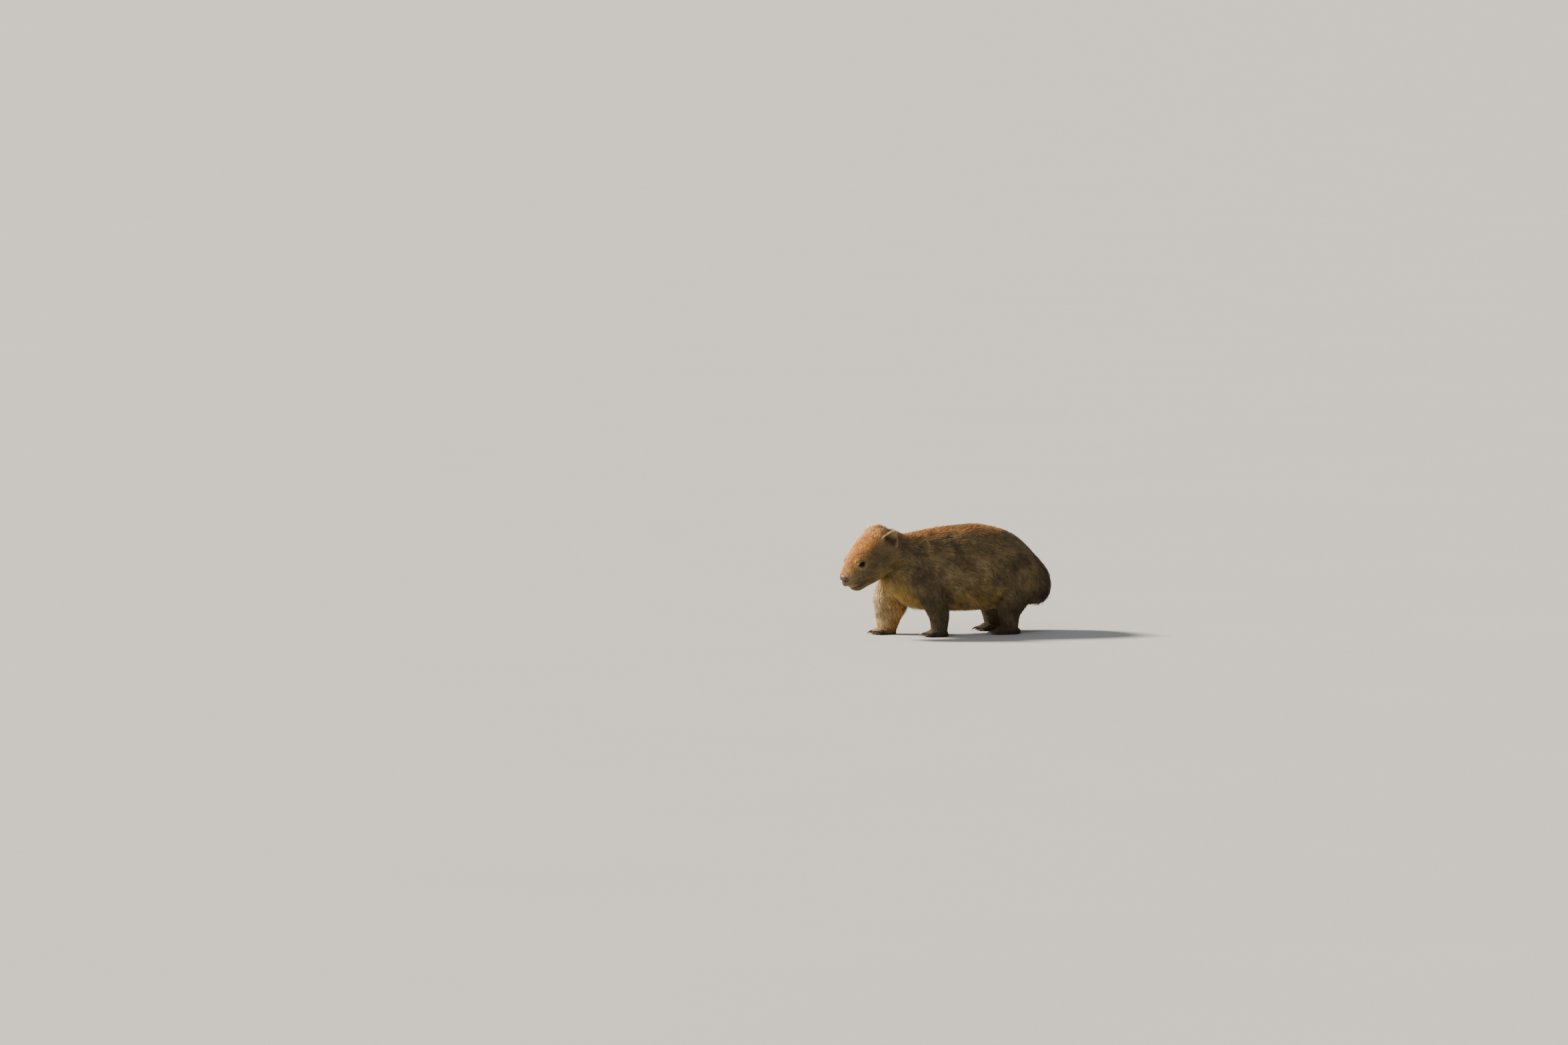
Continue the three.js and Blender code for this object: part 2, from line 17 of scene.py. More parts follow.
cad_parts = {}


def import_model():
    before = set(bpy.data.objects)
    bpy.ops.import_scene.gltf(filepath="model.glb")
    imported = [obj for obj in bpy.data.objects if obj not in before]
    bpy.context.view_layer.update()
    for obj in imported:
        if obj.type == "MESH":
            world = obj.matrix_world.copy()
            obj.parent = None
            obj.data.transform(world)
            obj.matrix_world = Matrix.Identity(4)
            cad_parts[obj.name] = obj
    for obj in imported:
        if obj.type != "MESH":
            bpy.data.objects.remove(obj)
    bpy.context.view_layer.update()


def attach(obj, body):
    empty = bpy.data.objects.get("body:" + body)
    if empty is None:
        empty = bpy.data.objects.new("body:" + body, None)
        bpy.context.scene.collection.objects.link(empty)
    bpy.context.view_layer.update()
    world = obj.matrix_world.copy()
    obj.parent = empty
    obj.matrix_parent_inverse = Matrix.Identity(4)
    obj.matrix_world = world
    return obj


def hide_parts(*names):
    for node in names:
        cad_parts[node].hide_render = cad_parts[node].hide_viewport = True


Array = np.ndarray
Pair = tuple[float, float]
Point = tuple[float, float, float]
Numbers = tuple[float, ...]
BMesh = bmesh.types.BMesh
Material = bpy.types.Material

LOG = logging.getLogger("wombat")
MM = 0.001
TAU = math.tau
MIDDLE_SHIFT = -0.7 * MM
SEED = 11
LINE_STEPS = 201
SIDES = (1, -1)


# Shapes


class Region(Enum):
    """The parts of the pelt, each with its own length and lie of hair."""

    TRUNK = 0
    HEAD = 1
    JAW = 2
    FORELEG_LEFT = 3
    FORELEG_RIGHT = 4
    HINDLEG_LEFT = 5
    HINDLEG_RIGHT = 6
    PAW = 7
    EAR_LEFT = 8
    EAR_RIGHT = 9
    TAIL = 10


LEG_REGIONS = (
    Region.FORELEG_LEFT,
    Region.FORELEG_RIGHT,
    Region.HINDLEG_LEFT,
    Region.HINDLEG_RIGHT,
)


def smoothstep(low: float, high: float, value: Array) -> Array:
    """A soft step from 0 at low to 1 at high.

    Args:
        low: Where the step starts.
        high: Where it ends, below low for a falling step.
        value: The values to test.

    Returns:
        The step's height at each value.
    """
    x = np.clip((np.asarray(value) - low) / (high - low), 0, 1)
    return x * x * (3 - 2 * x)


def bell(value: Array, width: float) -> Array:
    """A soft bump of height 1, that falls off over a width."""
    return np.exp(-((value / width) ** 2))


def unit(vectors: Array) -> Array:
    """Vectors, one a row, made one long."""
    return vectors / np.maximum(np.linalg.norm(vectors, axis=-1, keepdims=True), 1e-12)


def catmull_rom(points: Array, share: Array) -> Array:
    """Points of a uniform curve through given points.

    Args:
        points: The points that the curve passes, one a row.
        share: Places along it from 0 to 1.

    Returns:
        A point for each share.
    """
    count = len(points)
    padded = np.vstack([2 * points[0] - points[1], points, 2 * points[-1] - points[-2]])
    place = np.clip(share, 0, 1) * (count - 1)
    first = np.minimum(place.astype(int), count - 2)
    w = (place - first)[:, None]
    a, b, c, d = (padded[first + i] for i in range(4))
    ta, tb = 0.5 * (c - a), 0.5 * (d - b)
    return (
        (2 * b - 2 * c + ta + tb) * w**3 + (-3 * b + 3 * c - 2 * ta - tb) * w**2 + ta * w + b
    )


def nearest(points: Array, among: Array) -> Array:
    """Finds the nearest of some points for each point.

    Args:
        points: The points that ask.
        among: The points that are asked for.

    Returns:
        A row number of among for each point.
    """
    tree = KDTree(len(among))
    for i, place in enumerate(among):
        tree.insert(place, i)
    tree.balance()
    return np.array([tree.find(place)[1] for place in points])


def in_order(rows: list[list[int]]) -> Array:
    """Faces or edges in an order of their own, because the operators' order changes between runs.

    Args:
        rows: The vertex numbers of each.

    Returns:
        The same rows, each turned to start at its lowest number, and sorted.
    """
    given = np.array(rows)
    size = given.shape[1]
    turn = (given.argmin(axis=1)[:, None] + np.arange(size)) % size
    turned = np.take_along_axis(given, turn, axis=1)
    return turned[np.lexsort(turned.T[::-1])]


def signed_power(value: Array, power: Array) -> Array:
    """A power of each value's size, with the value's own sign."""
    return np.sign(value) * np.abs(value) ** power


def add_rings(bm: BMesh, rings: Iterable[Array], closed: bool = False) -> None:
    """Joins rings of points into one tube.

    Args:
        bm: The mesh that takes it.
        rings: The points of each ring, one a row.
        closed: Whether the last ring joins the first. If not, both ends are capped.
    """
    first: list[bmesh.types.BMEdge] = []
    before: list[bmesh.types.BMEdge] = []
    for points in rings:
        ring = bmesh.ops.create_circle(bm, radius=1, segments=len(points))["verts"]
        for vert, co in zip(ring, points):
            vert.co = co
        edges = list(dict.fromkeys(e for v in ring for e in v.link_edges))
        if before:
            bmesh.ops.bridge_loops(bm, edges=before + edges)
        elif closed:
            first = edges
        else:
            bmesh.ops.holes_fill(bm, edges=edges, sides=0)
        before = edges
    if closed:
        bmesh.ops.bridge_loops(bm, edges=before + first)
    else:
        bmesh.ops.holes_fill(bm, edges=before, sides=0)


@dataclass
class Form:
    """A closed form along a centre line, with rounded box sections and domed ends.

    A girth holds the half width and the heights over and under the line. The squareness of
    the upper and the lower half is a power: 2 is round, more is squarer.
    """

    centres: Array
    girths: Array
    side: Array
    up: Array
    domes: Pair
    crown: float = 2.2
    keel: float = 2.2
    dome_share: float = 0.17
    first_ring: float = 0.012
    marks: Array = field(init=False)
    length: float = field(init=False)

    def __post_init__(self) -> None:
        """Measures the centre line."""
        self.side, self.up = unit(self.side), unit(self.up)
        line = catmull_rom(self.centres, np.linspace(0, 1, LINE_STEPS))
        steps = np.linalg.norm(np.diff(line, axis=0), axis=1)
        self.marks = np.concatenate([[0], np.cumsum(steps)])
        self.length = float(self.marks[-1])

    def points(self, t: Array, angle: Array, grow: float = 0.0) -> Array:
        """Points of the surface.

        Args:
            t: Places from end to end, from 0 to 1.
            angle: Angles from the top towards the side.
            grow: How far the form is swollen.

        Returns:
            One point a row.
        """
        t, angle = np.broadcast_arrays(np.asarray(t, float), np.asarray(angle, float))
        ends = np.asarray(self.domes) / self.length
        share = self.dome_share
        from_end = np.minimum(t, 1 - t)
        turn = np.clip(from_end / share, 0, 1) * (math.pi / 2)
        inset = np.where(t < 0.5, ends[0], ends[1]) * (1 - np.cos(turn))
        middle = ends[0] + (t - share) / (1 - 2 * share) * (1 - ends[0] - ends[1])
        along = np.where(from_end >= share, middle, np.where(t < 0.5, inset, 1 - inset))
        shrink = np.sin(turn)
        reach = np.where(t < 0.5, -1, 1) * np.cos(turn)
        u = np.interp(along * self.length, self.marks, np.linspace(0, 1, LINE_STEPS))
        girth = catmull_rom(self.girths, u)
        centre = catmull_rom(self.centres, u)
        tangent = unit(
            catmull_rom(self.centres, u + 5e-3) - catmull_rom(self.centres, u - 5e-3)
        )
        power = 2 / np.where(np.cos(angle) > 0, self.crown, self.keel)
        across = signed_power(np.sin(angle), power) * (girth[:, 0] + grow) * shrink
        rise = signed_power(np.cos(angle), power)
        high = rise * (np.where(rise > 0, girth[:, 1], girth[:, 2]) + grow) * shrink
        return (
            centre
            + tangent * (reach * grow)[:, None]
            + self.side * across[:, None]
            + self.up * high[:, None]
        )

    def loft(self, bm: BMesh, sides: int, rings: int, grow: float) -> None:
        """Adds the closed form to a mesh, ring by ring.

        Args:
            bm: The mesh that takes it.
            sides: Sides of each ring.
            rings: Rings from end to end.
            grow: How far the form is swollen.
        """
        angles = np.arange(sides) / sides * TAU
        places = np.linspace(self.first_ring, 1 - self.first_ring, rings)
        add_rings(bm, (self.points(np.full(sides, t), angles, grow) for t in places))


def upright(rows: tuple[Numbers, ...], side: Numbers, **more: object) -> Form:
    """A form with upright sections.

    Args:
        rows: Each section's x, y, top, bottom, half width and widest height, in millimetres.
        side: The direction of its side.
        more: Its domes and the squareness of its sections.

    Returns:
        The form in metres.
    """
    r = np.asarray(rows, float) * MM
    return Form(
        centres=r[:, [0, 1, 5]],
        girths=np.stack([r[:, 4], r[:, 2] - r[:, 5], r[:, 5] - r[:, 3]], 1),
        side=np.asarray(side, float),
        up=np.array([0.0, 0.0, 1.0]),
        **more,
    )


def level(rows: tuple[Numbers, ...], side: float) -> Form:
    """A leg, with level sections.

    Args:
        rows: Each section's height, x, y, half length and half width, in millimetres.
        side: -1 on the animal's left, 1 on its right.

    Returns:
        The form in metres.
    """
    r = np.asarray(rows, float) * MM
    return Form(
        centres=np.stack([r[:, 1], side * r[:, 2], r[:, 0]], 1),
        girths=r[:, [4, 3, 3]],
        side=np.array([0.0, side, 0.0]),
        up=np.array([-1.0, 0.0, 0.0]),
        domes=(26 * MM, 6 * MM),
    )


@dataclass(frozen=True)
class HeadPlace:
    """Where the head sits. In its frame x runs forward, y to the left and z out of the crown."""

    place: Point = (-307.5, -42.0, 229.0)
    pitch: float = 36.0
    turn: float = 12.0
    roll: float = 3.5

    def matrix(self) -> Matrix:
        """The head frame's place in the body's frame.

        Returns:
            The matrix.
        """
        return (
            Matrix.Translation(Vector(self.place) * MM)
            @ Matrix.Rotation(math.pi + math.radians(self.turn), 4, "Z")
            @ Matrix.Rotation(math.radians(self.pitch), 4, "Y")
            @ Matrix.Rotation(-math.radians(self.roll), 4, "X")
        )


HEAD = HeadPlace()


def moved(points: Array, matrix: Matrix) -> Array:
    """Points, one a row, moved by a matrix."""
    m = np.array(matrix)
    return points @ m[:3, :3].T + m[:3, 3]


def head_turn() -> Array:
    """The head's turn, which takes directions in its frame to the body's."""
    return np.array(HEAD.matrix())[:3, :3]


def in_head(points: Array) -> Array:
    """Points of the body's frame in the head's frame, in millimetres."""
    return moved(points, HEAD.matrix().inverted()) / MM


def read_in_head(bm: BMesh) -> Array:
    """A mesh's vertices in the head's frame, in millimetres."""
    return in_head(np.array([v.co for v in bm.verts]))


def write_from_head(verts: Iterable[bmesh.types.BMVert], local: Array) -> None:
    """Sets vertices from points in the head's frame, in millimetres."""
    for vert, co in zip(verts, moved(local * MM, HEAD.matrix())):
        vert.co = co


@dataclass(frozen=True)
class Leg:
    """One leg, its side -1 on the left, and its foot by place, half length and half width."""

    region: Region
    side: float
    rows: tuple[Numbers, ...]
    foot: Pair
    size: Pair
    toes: int
    turn: float

    def form(self) -> Form:
        """The leg as a form."""
        return level(self.rows, self.side)

    def matrix(self) -> Matrix:
        """The foot's place in the body's frame.

        Returns:
            The matrix.
        """
        x, y = self.foot
        return Matrix.Translation(
            Vector((x * MM, self.side * y * MM, 0))
        ) @ Matrix.Rotation(math.radians(self.side * self.turn), 4, "Z")

    def toe(self, index: int) -> Pair:
        """A toe's x and y in the foot's own frame, in millimetres.

        Args:
            index: The toe's number, from one side of the foot to the other.

        Returns:
            The two.
        """
        share = index / (self.toes - 1) * 2 - 1
        long, wide = self.size
        return -long * (0.86 - 0.2 * share * share), share * wide * 0.76


# The sections of each form: x, y, top, bottom, half width and widest height.
TRUNK_SECTIONS = (
    (-225, -22, 338, 178, 54, 252), (-192, -16, 341, 156, 64, 242),
    (-165, -11, 332, 137, 75, 229), (-138, -6, 322, 115, 88, 213),
    (-100, -1, 323, 94, 102, 196), (-60, 0, 329, 82, 111, 188), (-8, 0, 336, 74, 118, 183),
    (50, 0, 341, 71, 124, 180), (115, 0, 343, 72, 127, 178), (185, 0, 330, 76, 125, 176),
    (240, 0, 304, 76, 117, 170), (290, 0, 259, 78, 103, 160), (330, 0, 217, 84, 86, 150),
    (361, 0, 188, 96, 72, 146),
)
HEAD_SECTIONS = (
    (-160, 0, 30, -80, 50, -36), (-130, 0, 47, -90, 59, -34), (-100, 0, 53, -93, 67, -32),
    (-68, 0, 51, -87, 70, -29), (-34, 0, 45, -72, 63, -25), (-5, 0, 36, -58, 53, -20),
    (16, 0, 25.5, -53, 46, -18), (34, 0, 16.5, -52, 42, -18), (50, 0, 10, -50, 39, -19),
    (62, 0, 4, -46, 34, -20),
)
JAW_SECTIONS = (
    (-64, 0, -40, -90, 50, -60), (-40, 0, -36, -90, 53, -58), (-12, 0, -30, -86, 46, -54),
    (12, 0, -30, -80, 39, -54), (32, 0, -32, -77, 33, -55), (56, 0, -38, -71, 25, -56),
)
TAIL_LINE = ((330, 0, 204), (345, 0, 192), (354, 0, 176), (357, 0, 165))
TAIL_GIRTHS = ((10, 10, 10), (9, 9, 9), (7, 7, 7), (5, 5, 5))

# The sections of each leg: height, x, y, half length and half width.
LEGS = (
    Leg(
        Region.FORELEG_LEFT,
        side=-1,
        rows=(
            (235, -112, 66, 40, 24), (205, -104, 73, 45, 30), (165, -92, 80, 50, 34),
            (120, -68, 82, 48, 34), (85, -52, 80, 41, 32), (52, -43, 78, 34, 30),
            (4, -43, 78, 28, 27),
        ),
        foot=(-50, 78),
        size=(33, 30),
        toes=5,
        turn=6,
    ),
    Leg(
        Region.FORELEG_RIGHT,
        side=1,
        rows=(
            (240, -108, 64, 40, 24), (210, -112, 72, 45, 30), (170, -122, 80, 50, 34),
            (125, -134, 82, 56, 36), (88, -134, 80, 56, 36), (52, -143, 77, 45, 33),
            (4, -150, 76, 33, 28),
        ),
        foot=(-155, 76),
        size=(34, 30),
        toes=5,
        turn=5,
    ),
    Leg(
        Region.HINDLEG_LEFT,
        side=-1,
        rows=(
            (246, 222, 54, 44, 34), (215, 226, 72, 56, 40), (172, 226, 84, 64, 41),
            (130, 218, 88, 64, 39), (92, 203, 84, 51, 35), (60, 196, 79, 38, 30),
            (4, 198, 77, 28, 25),
        ),
        foot=(187, 77),
        size=(42, 26),
        toes=4,
        turn=7,
    ),
    Leg(
        Region.HINDLEG_RIGHT,
        side=1,
        rows=(
            (246, 224, 54, 44, 34), (215, 228, 72, 56, 40), (172, 234, 84, 64, 41),
            (130, 228, 88, 64, 39), (92, 214, 83, 50, 35), (60, 210, 78, 38, 30),
            (4, 213, 76, 28, 25),
        ),
        foot=(203, 75),
        size=(42, 26),
        toes=4,
        turn=7,
    ),
)


@dataclass(frozen=True)
class Body:
    """Every form of the animal, with the sizes of its solids."""

    legs: tuple[Leg, ...] = LEGS

    def trunk(self) -> Form:
        """Neck, torso and rump in one."""
        return upright(TRUNK_SECTIONS, side=(0, -1, 0), domes=(30 * MM, 38 * MM))

    def head(self) -> Form:
        """The head, flatter above than below."""
        domes = (30 * MM, 12 * MM)
        return upright(HEAD_SECTIONS, side=(0, 1, 0), domes=domes, crown=2.0, keel=2.7)

    def jaw(self) -> Form:
        """The lower jaw."""
        return upright(JAW_SECTIONS, side=(0, 1, 0), domes=(16 * MM, 14 * MM))

    def tail(self) -> Form:
        """The short tail.

        Returns:
            The form.
        """
        return Form(
            centres=np.array(TAIL_LINE) * MM,
            girths=np.array(TAIL_GIRTHS) * MM,
            side=np.array([0.0, -1.0, 0.0]),
            up=np.array([1.0, 0.0, 1.0]),
            domes=(6 * MM, 8 * MM),
        )


# Finishes


@dataclass(frozen=True)
class Tint:
    """A colour by its red, green and blue, as a paint chart gives them, from 0 to 255."""

    red: int
    green: int
    blue: int

    def rgba(self) -> Numbers:
        """The colour in linear light.

        Returns:
            Its four numbers.
        """
        values = (self.red, self.green, self.blue)
        linear = [
            v / 255 / 12.92 if v <= 10 else ((v / 255 + 0.055) / 1.055) ** 2.4 for v in values
        ]
        return (*linear, 1.0)


class Graph:
    """A small helper that adds linked nodes to one node tree."""

    def __init__(self, tree: bpy.types.NodeTree) -> None:
        """Keeps the tree."""
        self.tree = tree

    def add(self, kind: str, settings: dict | None = None, **inputs: object) -> bpy.types.Node:
        """Adds a node.

        Args:
            kind: The node's type.
            settings: Values for the node's own properties.
            inputs: Values or output sockets, by input name with _ for a space, or _N by number.

        Returns:
            The node.
        """
        node = self.tree.nodes.new(kind)
        for name, value in (settings or {}).items():
            setattr(node, name, value)
        self.feed(node, **inputs)
        return node

    def feed(self, node: bpy.types.Node, **inputs: object) -> None:
        """Sets a node's inputs, or links them.

        Args:
            node: The node.
            inputs: Values or output sockets, as for a new node.
        """
        for name, value in inputs.items():
            key = int(name[1:]) if name[0] == "_" else name.replace("_", " ")
            socket = node.inputs[key]
            if isinstance(value, bpy.types.NodeSocket):
                self.tree.links.new(value, socket)
            else:
                socket.default_value = value

    def mix(self, share: object, first: object, second: object, mode: str = "MIX") -> object:
        """The output socket of a colour mix."""
        settings = {"data_type": "RGBA", "blend_type": mode}
        return self.add("ShaderNodeMix", settings, _0=share, _6=first, _7=second).outputs[2]

    def math(self, operation: str, first: object, second: object = 0.5) -> object:
        """The output socket of a sum or the like."""
        return self.add("ShaderNodeMath", {"operation": operation}, _0=first, _1=second).outputs[0]

    def scaled(self, value: object, factor: float, base: float) -> object:
        """A value times a factor, plus a base."""
        return self.math("ADD", self.math("MULTIPLY", value, factor), base)

    def place(self) -> object:
        """The piece's own coordinates."""
        return self.add("ShaderNodeTexCoord").outputs["Object"]

    def noise(self, scale: object, detail: object, where: object) -> object:
        """The value of a noise pattern."""
        inputs = {"Vector": where, "Scale": scale, "Detail": detail, "Roughness": 0.6}
        return self.add("ShaderNodeTexNoise", **inputs).outputs["Fac"]

    def attribute(self, name: str) -> object:
        """The value of a mesh attribute."""
        return self.add("ShaderNodeAttribute", {"attribute_name": name}).outputs["Fac"]

    def stretch(self, value: object, low: float, high: float) -> object:
        """A value's range from low to high, stretched to 0 to 1."""
        node = self.add("ShaderNodeMapRange", _0=value, _1=low, _2=high, _3=0.0, _4=1.0)
        return node.outputs[0]


def new_group(name: str, inputs: dict[str, str], outputs: dict[str, str]) -> Graph:
    """An empty shader group.

    Args:
        name: Its name.
        inputs: The kinds of its inputs by name, such as Float.
        outputs: The kinds of its outputs by name.

    Returns:
        The group's graph.
    """
    tree = bpy.data.node_groups.new(name, "ShaderNodeTree")
    for way, sockets in (("INPUT", inputs), ("OUTPUT", outputs)):
        for label, kind in sockets.items():
            tree.interface.new_socket(label, in_out=way, socket_type="NodeSocket" + kind)
    return Graph(tree)


@dataclass(frozen=True)
class Grain:
    """A fine, uneven grain. Its values vary a finish, and its relief roughens it."""

    scale: float
    detail: float
    strength: float = 0.4
    distance: float = 0.0

    def group(self) -> bpy.types.NodeTree:
        """The shared pattern, built when it is first asked for.

        Returns:
            A shader group that puts out a value and a normal.
        """
        made = bpy.data.node_groups.get("grain")
        if made:
            return made
        numbers = dict.fromkeys(("Scale", "Detail", "Strength", "Distance"), "Float")
        inputs = {"Place": "Vector", **numbers}
        g = new_group("grain", inputs, {"Value": "Float", "Normal": "Vector"})
        given = g.add("NodeGroupInput").outputs
        value = g.noise(given["Scale"], given["Detail"], given["Place"])
        relief = {"Strength": given["Strength"], "Distance": given["Distance"]}
        bump = g.add("ShaderNodeBump", Height=value, **relief)
        g.add("NodeGroupOutput", Value=value, Normal=bump.outputs[0])
        return g.tree

    def on(self, g: Graph, where: object) -> tuple[object, object]:
        """Places the pattern in a material.

        Args:
            g: The material's graph.
            where: The coordinates that it reads.

        Returns:
            The sockets of its value and of its normal.
        """
        node = g.add("ShaderNodeGroup", {"node_tree": self.group()}, Place=where)
        g.feed(node, Scale=self.scale, Detail=self.detail)
        g.feed(node, Strength=self.strength, Distance=self.distance)
        return node.outputs["Value"], node.outputs["Normal"]


# The markings' masks. The warm orange one is painted sunlight; the dark and the pale ones are
# partly painted shade and painted sunlight.
MASKS = ("rust", "tan", "ochre", "dusk", "pale")


@dataclass(frozen=True)
class Pelt:
    """The markings, the same for skin and coat, with painted sunlight and painted shade among them.
    Each hair has a root and a tip colour.
    """

    root: Tint = Tint(76, 64, 46)
    tip: Tint = Tint(164, 142, 102)
    # Painted sunlight: a warm orange for the rims that the key light falls on, on the top of the
    # back, the crown, the far foreleg and the ear rims.
    rust: tuple[Tint, Tint] = (Tint(142, 86, 34), Tint(248, 170, 78))
    tan: tuple[Tint, Tint] = (Tint(97, 79, 45), Tint(200, 164, 104))
    ochre: tuple[Tint, Tint] = (Tint(113, 90, 43), Tint(218, 182, 96))
    # Dark fur of the legs, paws, lips, snout and lids, and painted shade on the rump, on the head
    # below the crown and in the ear hollows.
    dusk: tuple[Tint, Tint] = (Tint(44, 38, 27), Tint(88, 76, 55))
    # Pale fur under the eyes and beside the nose, and painted sunlight on the far foreleg's front,
    # the back of the crown and the ear rims.
    pale: tuple[Tint, Tint] = (Tint(176, 146, 100), Tint(250, 228, 180))

    patch_scale: float = 22.0
    shade_range: Pair = (0.56, 1.28)

    def group(self) -> bpy.types.NodeTree:
        """The shared pattern of the pelt, painted light included, built when it is first asked for.

        Returns:
            A shader group with the masks as inputs and a colour as its output.
        """
        made = bpy.data.node_groups.get("pelt_markings")
        if made:
            return made
        inputs = dict.fromkeys(("Along", "Tone", *MASKS), "Float")
        g = new_group("pelt_markings", inputs, {"Color": "Color"})
        given = g.add("NodeGroupInput").outputs
        patch = g.stretch(g.noise(self.patch_scale, 4.0, g.place()), 0.34, 0.66)
        root, tip = self.root.rgba(), self.tip.rgba()
        for name in MASKS:
            low, high = getattr(self, name)
            root = g.mix(given[name], root, low.rgba())
            tip = g.mix(given[name], tip, high.rgba())
        reach = g.math("MULTIPLY", given["Along"], g.math("ADD", given["Tone"], 0.35))
        reach = g.add("ShaderNodeClamp", Value=g.math("MULTIPLY", reach, 1.15)).outputs[0]
        darkest, lightest = self.shade_range
        shade = g.scaled(patch, lightest - darkest, darkest)
        grey = g.add("ShaderNodeCombineColor", Red=shade, Green=shade, Blue=shade).outputs[0]
        colour = g.mix(1.0, g.mix(reach, root, tip), grey, "MULTIPLY")
        g.add("NodeGroupOutput", Color=colour)
        return g.tree

    def colour(self, g: Graph) -> object:
        """Places the group in a material, fed by the mesh's own attributes.

        Args:
            g: The material's graph.

        Returns:
            The colour's socket.
        """
        fed = {name: g.attribute(name.lower()) for name in ("Along", "Tone", *MASKS)}
        node = g.add("ShaderNodeGroup", {"node_tree": self.group()}, **fed)
        return node.outputs["Color"]


def new_material(name: str) -> tuple[Material, Graph, bpy.types.Node]:
    """A bare material with a Principled surface.

    Args:
        name: Its name.

    Returns:
        The material, its graph and its surface node.
    """
    material = bpy.data.materials.new(name)
    material.use_nodes = True
    g = Graph(material.node_tree)
    return material, g, material.node_tree.nodes["Principled BSDF"]


@dataclass(frozen=True)
class CoatFinish:
    """The finish of the hairs."""

    pelt: Pelt
    roughness: float = 0.6
    specular: float = 0.3
    sheen: float = 0.07
    sheen_roughness: float = 0.5
    sheen_tint: Numbers = (1.0, 0.84, 0.62, 1.0)

    def material(self) -> Material:
        """The finish as a material.

        Returns:
            The material.
        """
        material, g, surface = new_material("coat_hair")
        g.feed(surface, Base_Color=self.pelt.colour(g), Roughness=self.roughness)
        g.feed(surface, Specular_IOR_Level=self.specular, Sheen_Weight=self.sheen)
        g.feed(surface, Sheen_Roughness=self.sheen_roughness, Sheen_Tint=self.sheen_tint)
        return material


@dataclass(frozen=True)
class SkinFinish:
    """The finish of the skin: the same markings, darker, with the grain of short hair."""

    pelt: Pelt
    darken: Numbers = (0.74, 0.72, 0.7, 1.0)
    grain: Grain = Grain(1100.0, 4.0, 0.7, 0.0012)
    stretch: Numbers = (5.0, 1.0, 1.0)
    roughness: float = 0.85
    specular: float = 0.2

    def material(self) -> Material:
        """The finish as a material, its grain drawn out along the head.

        Returns:
            The material.
        """
        material, g, surface = new_material("pelt_skin")
        lie = g.add("ShaderNodeMapping", {"vector_type": "TEXTURE"}, Vector=g.place())
        g.feed(lie, Rotation=HEAD.matrix().to_euler("XYZ"), Scale=self.stretch)
        normal = self.grain.on(g, lie.outputs[0])[1]
        colour = g.mix(1.0, self.pelt.colour(g), self.darken, "MULTIPLY")
        g.feed(surface, Base_Color=colour, Normal=normal)
        g.feed(surface, Roughness=self.roughness, Specular_IOR_Level=self.specular)
        return material


@dataclass(frozen=True)
class NoseFinish:
    """Bare, blotched and finely pebbled skin."""

    dark: Tint = Tint(54, 41, 34)
    light: Tint = Tint(108, 86, 68)
    blotches: Grain = Grain(120.0, 3.0)
    pebble_scale: float = 900.0
    roughness: float = 0.46
    roughness_span: float = 0.18
    specular: float = 0.3

    def material(self) -> Material:
        """The finish as a material.

        Returns:
            The material.
        """
        material, g, surface = new_material("nose_leather")
        place = g.place()
        cells = g.add("ShaderNodeTexVoronoi", Vector=place, Scale=self.pebble_scale)
        blotch = g.stretch(self.blotches.on(g, place)[0], 0.35, 0.68)
        rough = g.scaled(blotch, self.roughness_span, self.roughness)
        height = cells.outputs["Distance"]
        bump = g.add("ShaderNodeBump", Strength=0.4, Distance=0.0007, Height=height)
        colour = g.mix(blotch, self.dark.rgba(), self.light.rgba())
        g.feed(surface, Base_Color=colour, Roughness=rough, Normal=bump.outputs[0])
        g.feed(surface, Specular_IOR_Level=self.specular)
        return material


@dataclass(frozen=True)
class ClawFinish:
    """Dark horn, paler and worn towards the point."""

    horn: Tint = Tint(52, 43, 36)
    worn: Tint = Tint(128, 110, 88)
    streak: Tint = Tint(34, 27, 22)
    streak_share: float = 0.4
    grain: Grain = Grain(420.0, 4.0, 0.4, 0.0005)
    roughness: float = 0.3
    roughness_span: float = 0.3

    def material(self) -> Material:
        """The finish as a material.

        Returns:
            The material.
        """
        material, g, surface = new_material("claw_horn")
        wear = g.stretch(g.attribute("along"), 0.45, 1.0)
        value, normal = self.grain.on(g, g.place())
        colour = g.mix(wear, self.horn.rgba(), self.worn.rgba())
        streaks = g.math("MULTIPLY", value, self.streak_share)
        colour = g.mix(streaks, colour, self.streak.rgba())
        rough = g.scaled(value, self.roughness_span, self.roughness)
        g.feed(surface, Base_Color=colour, Roughness=rough, Normal=normal)
        return material


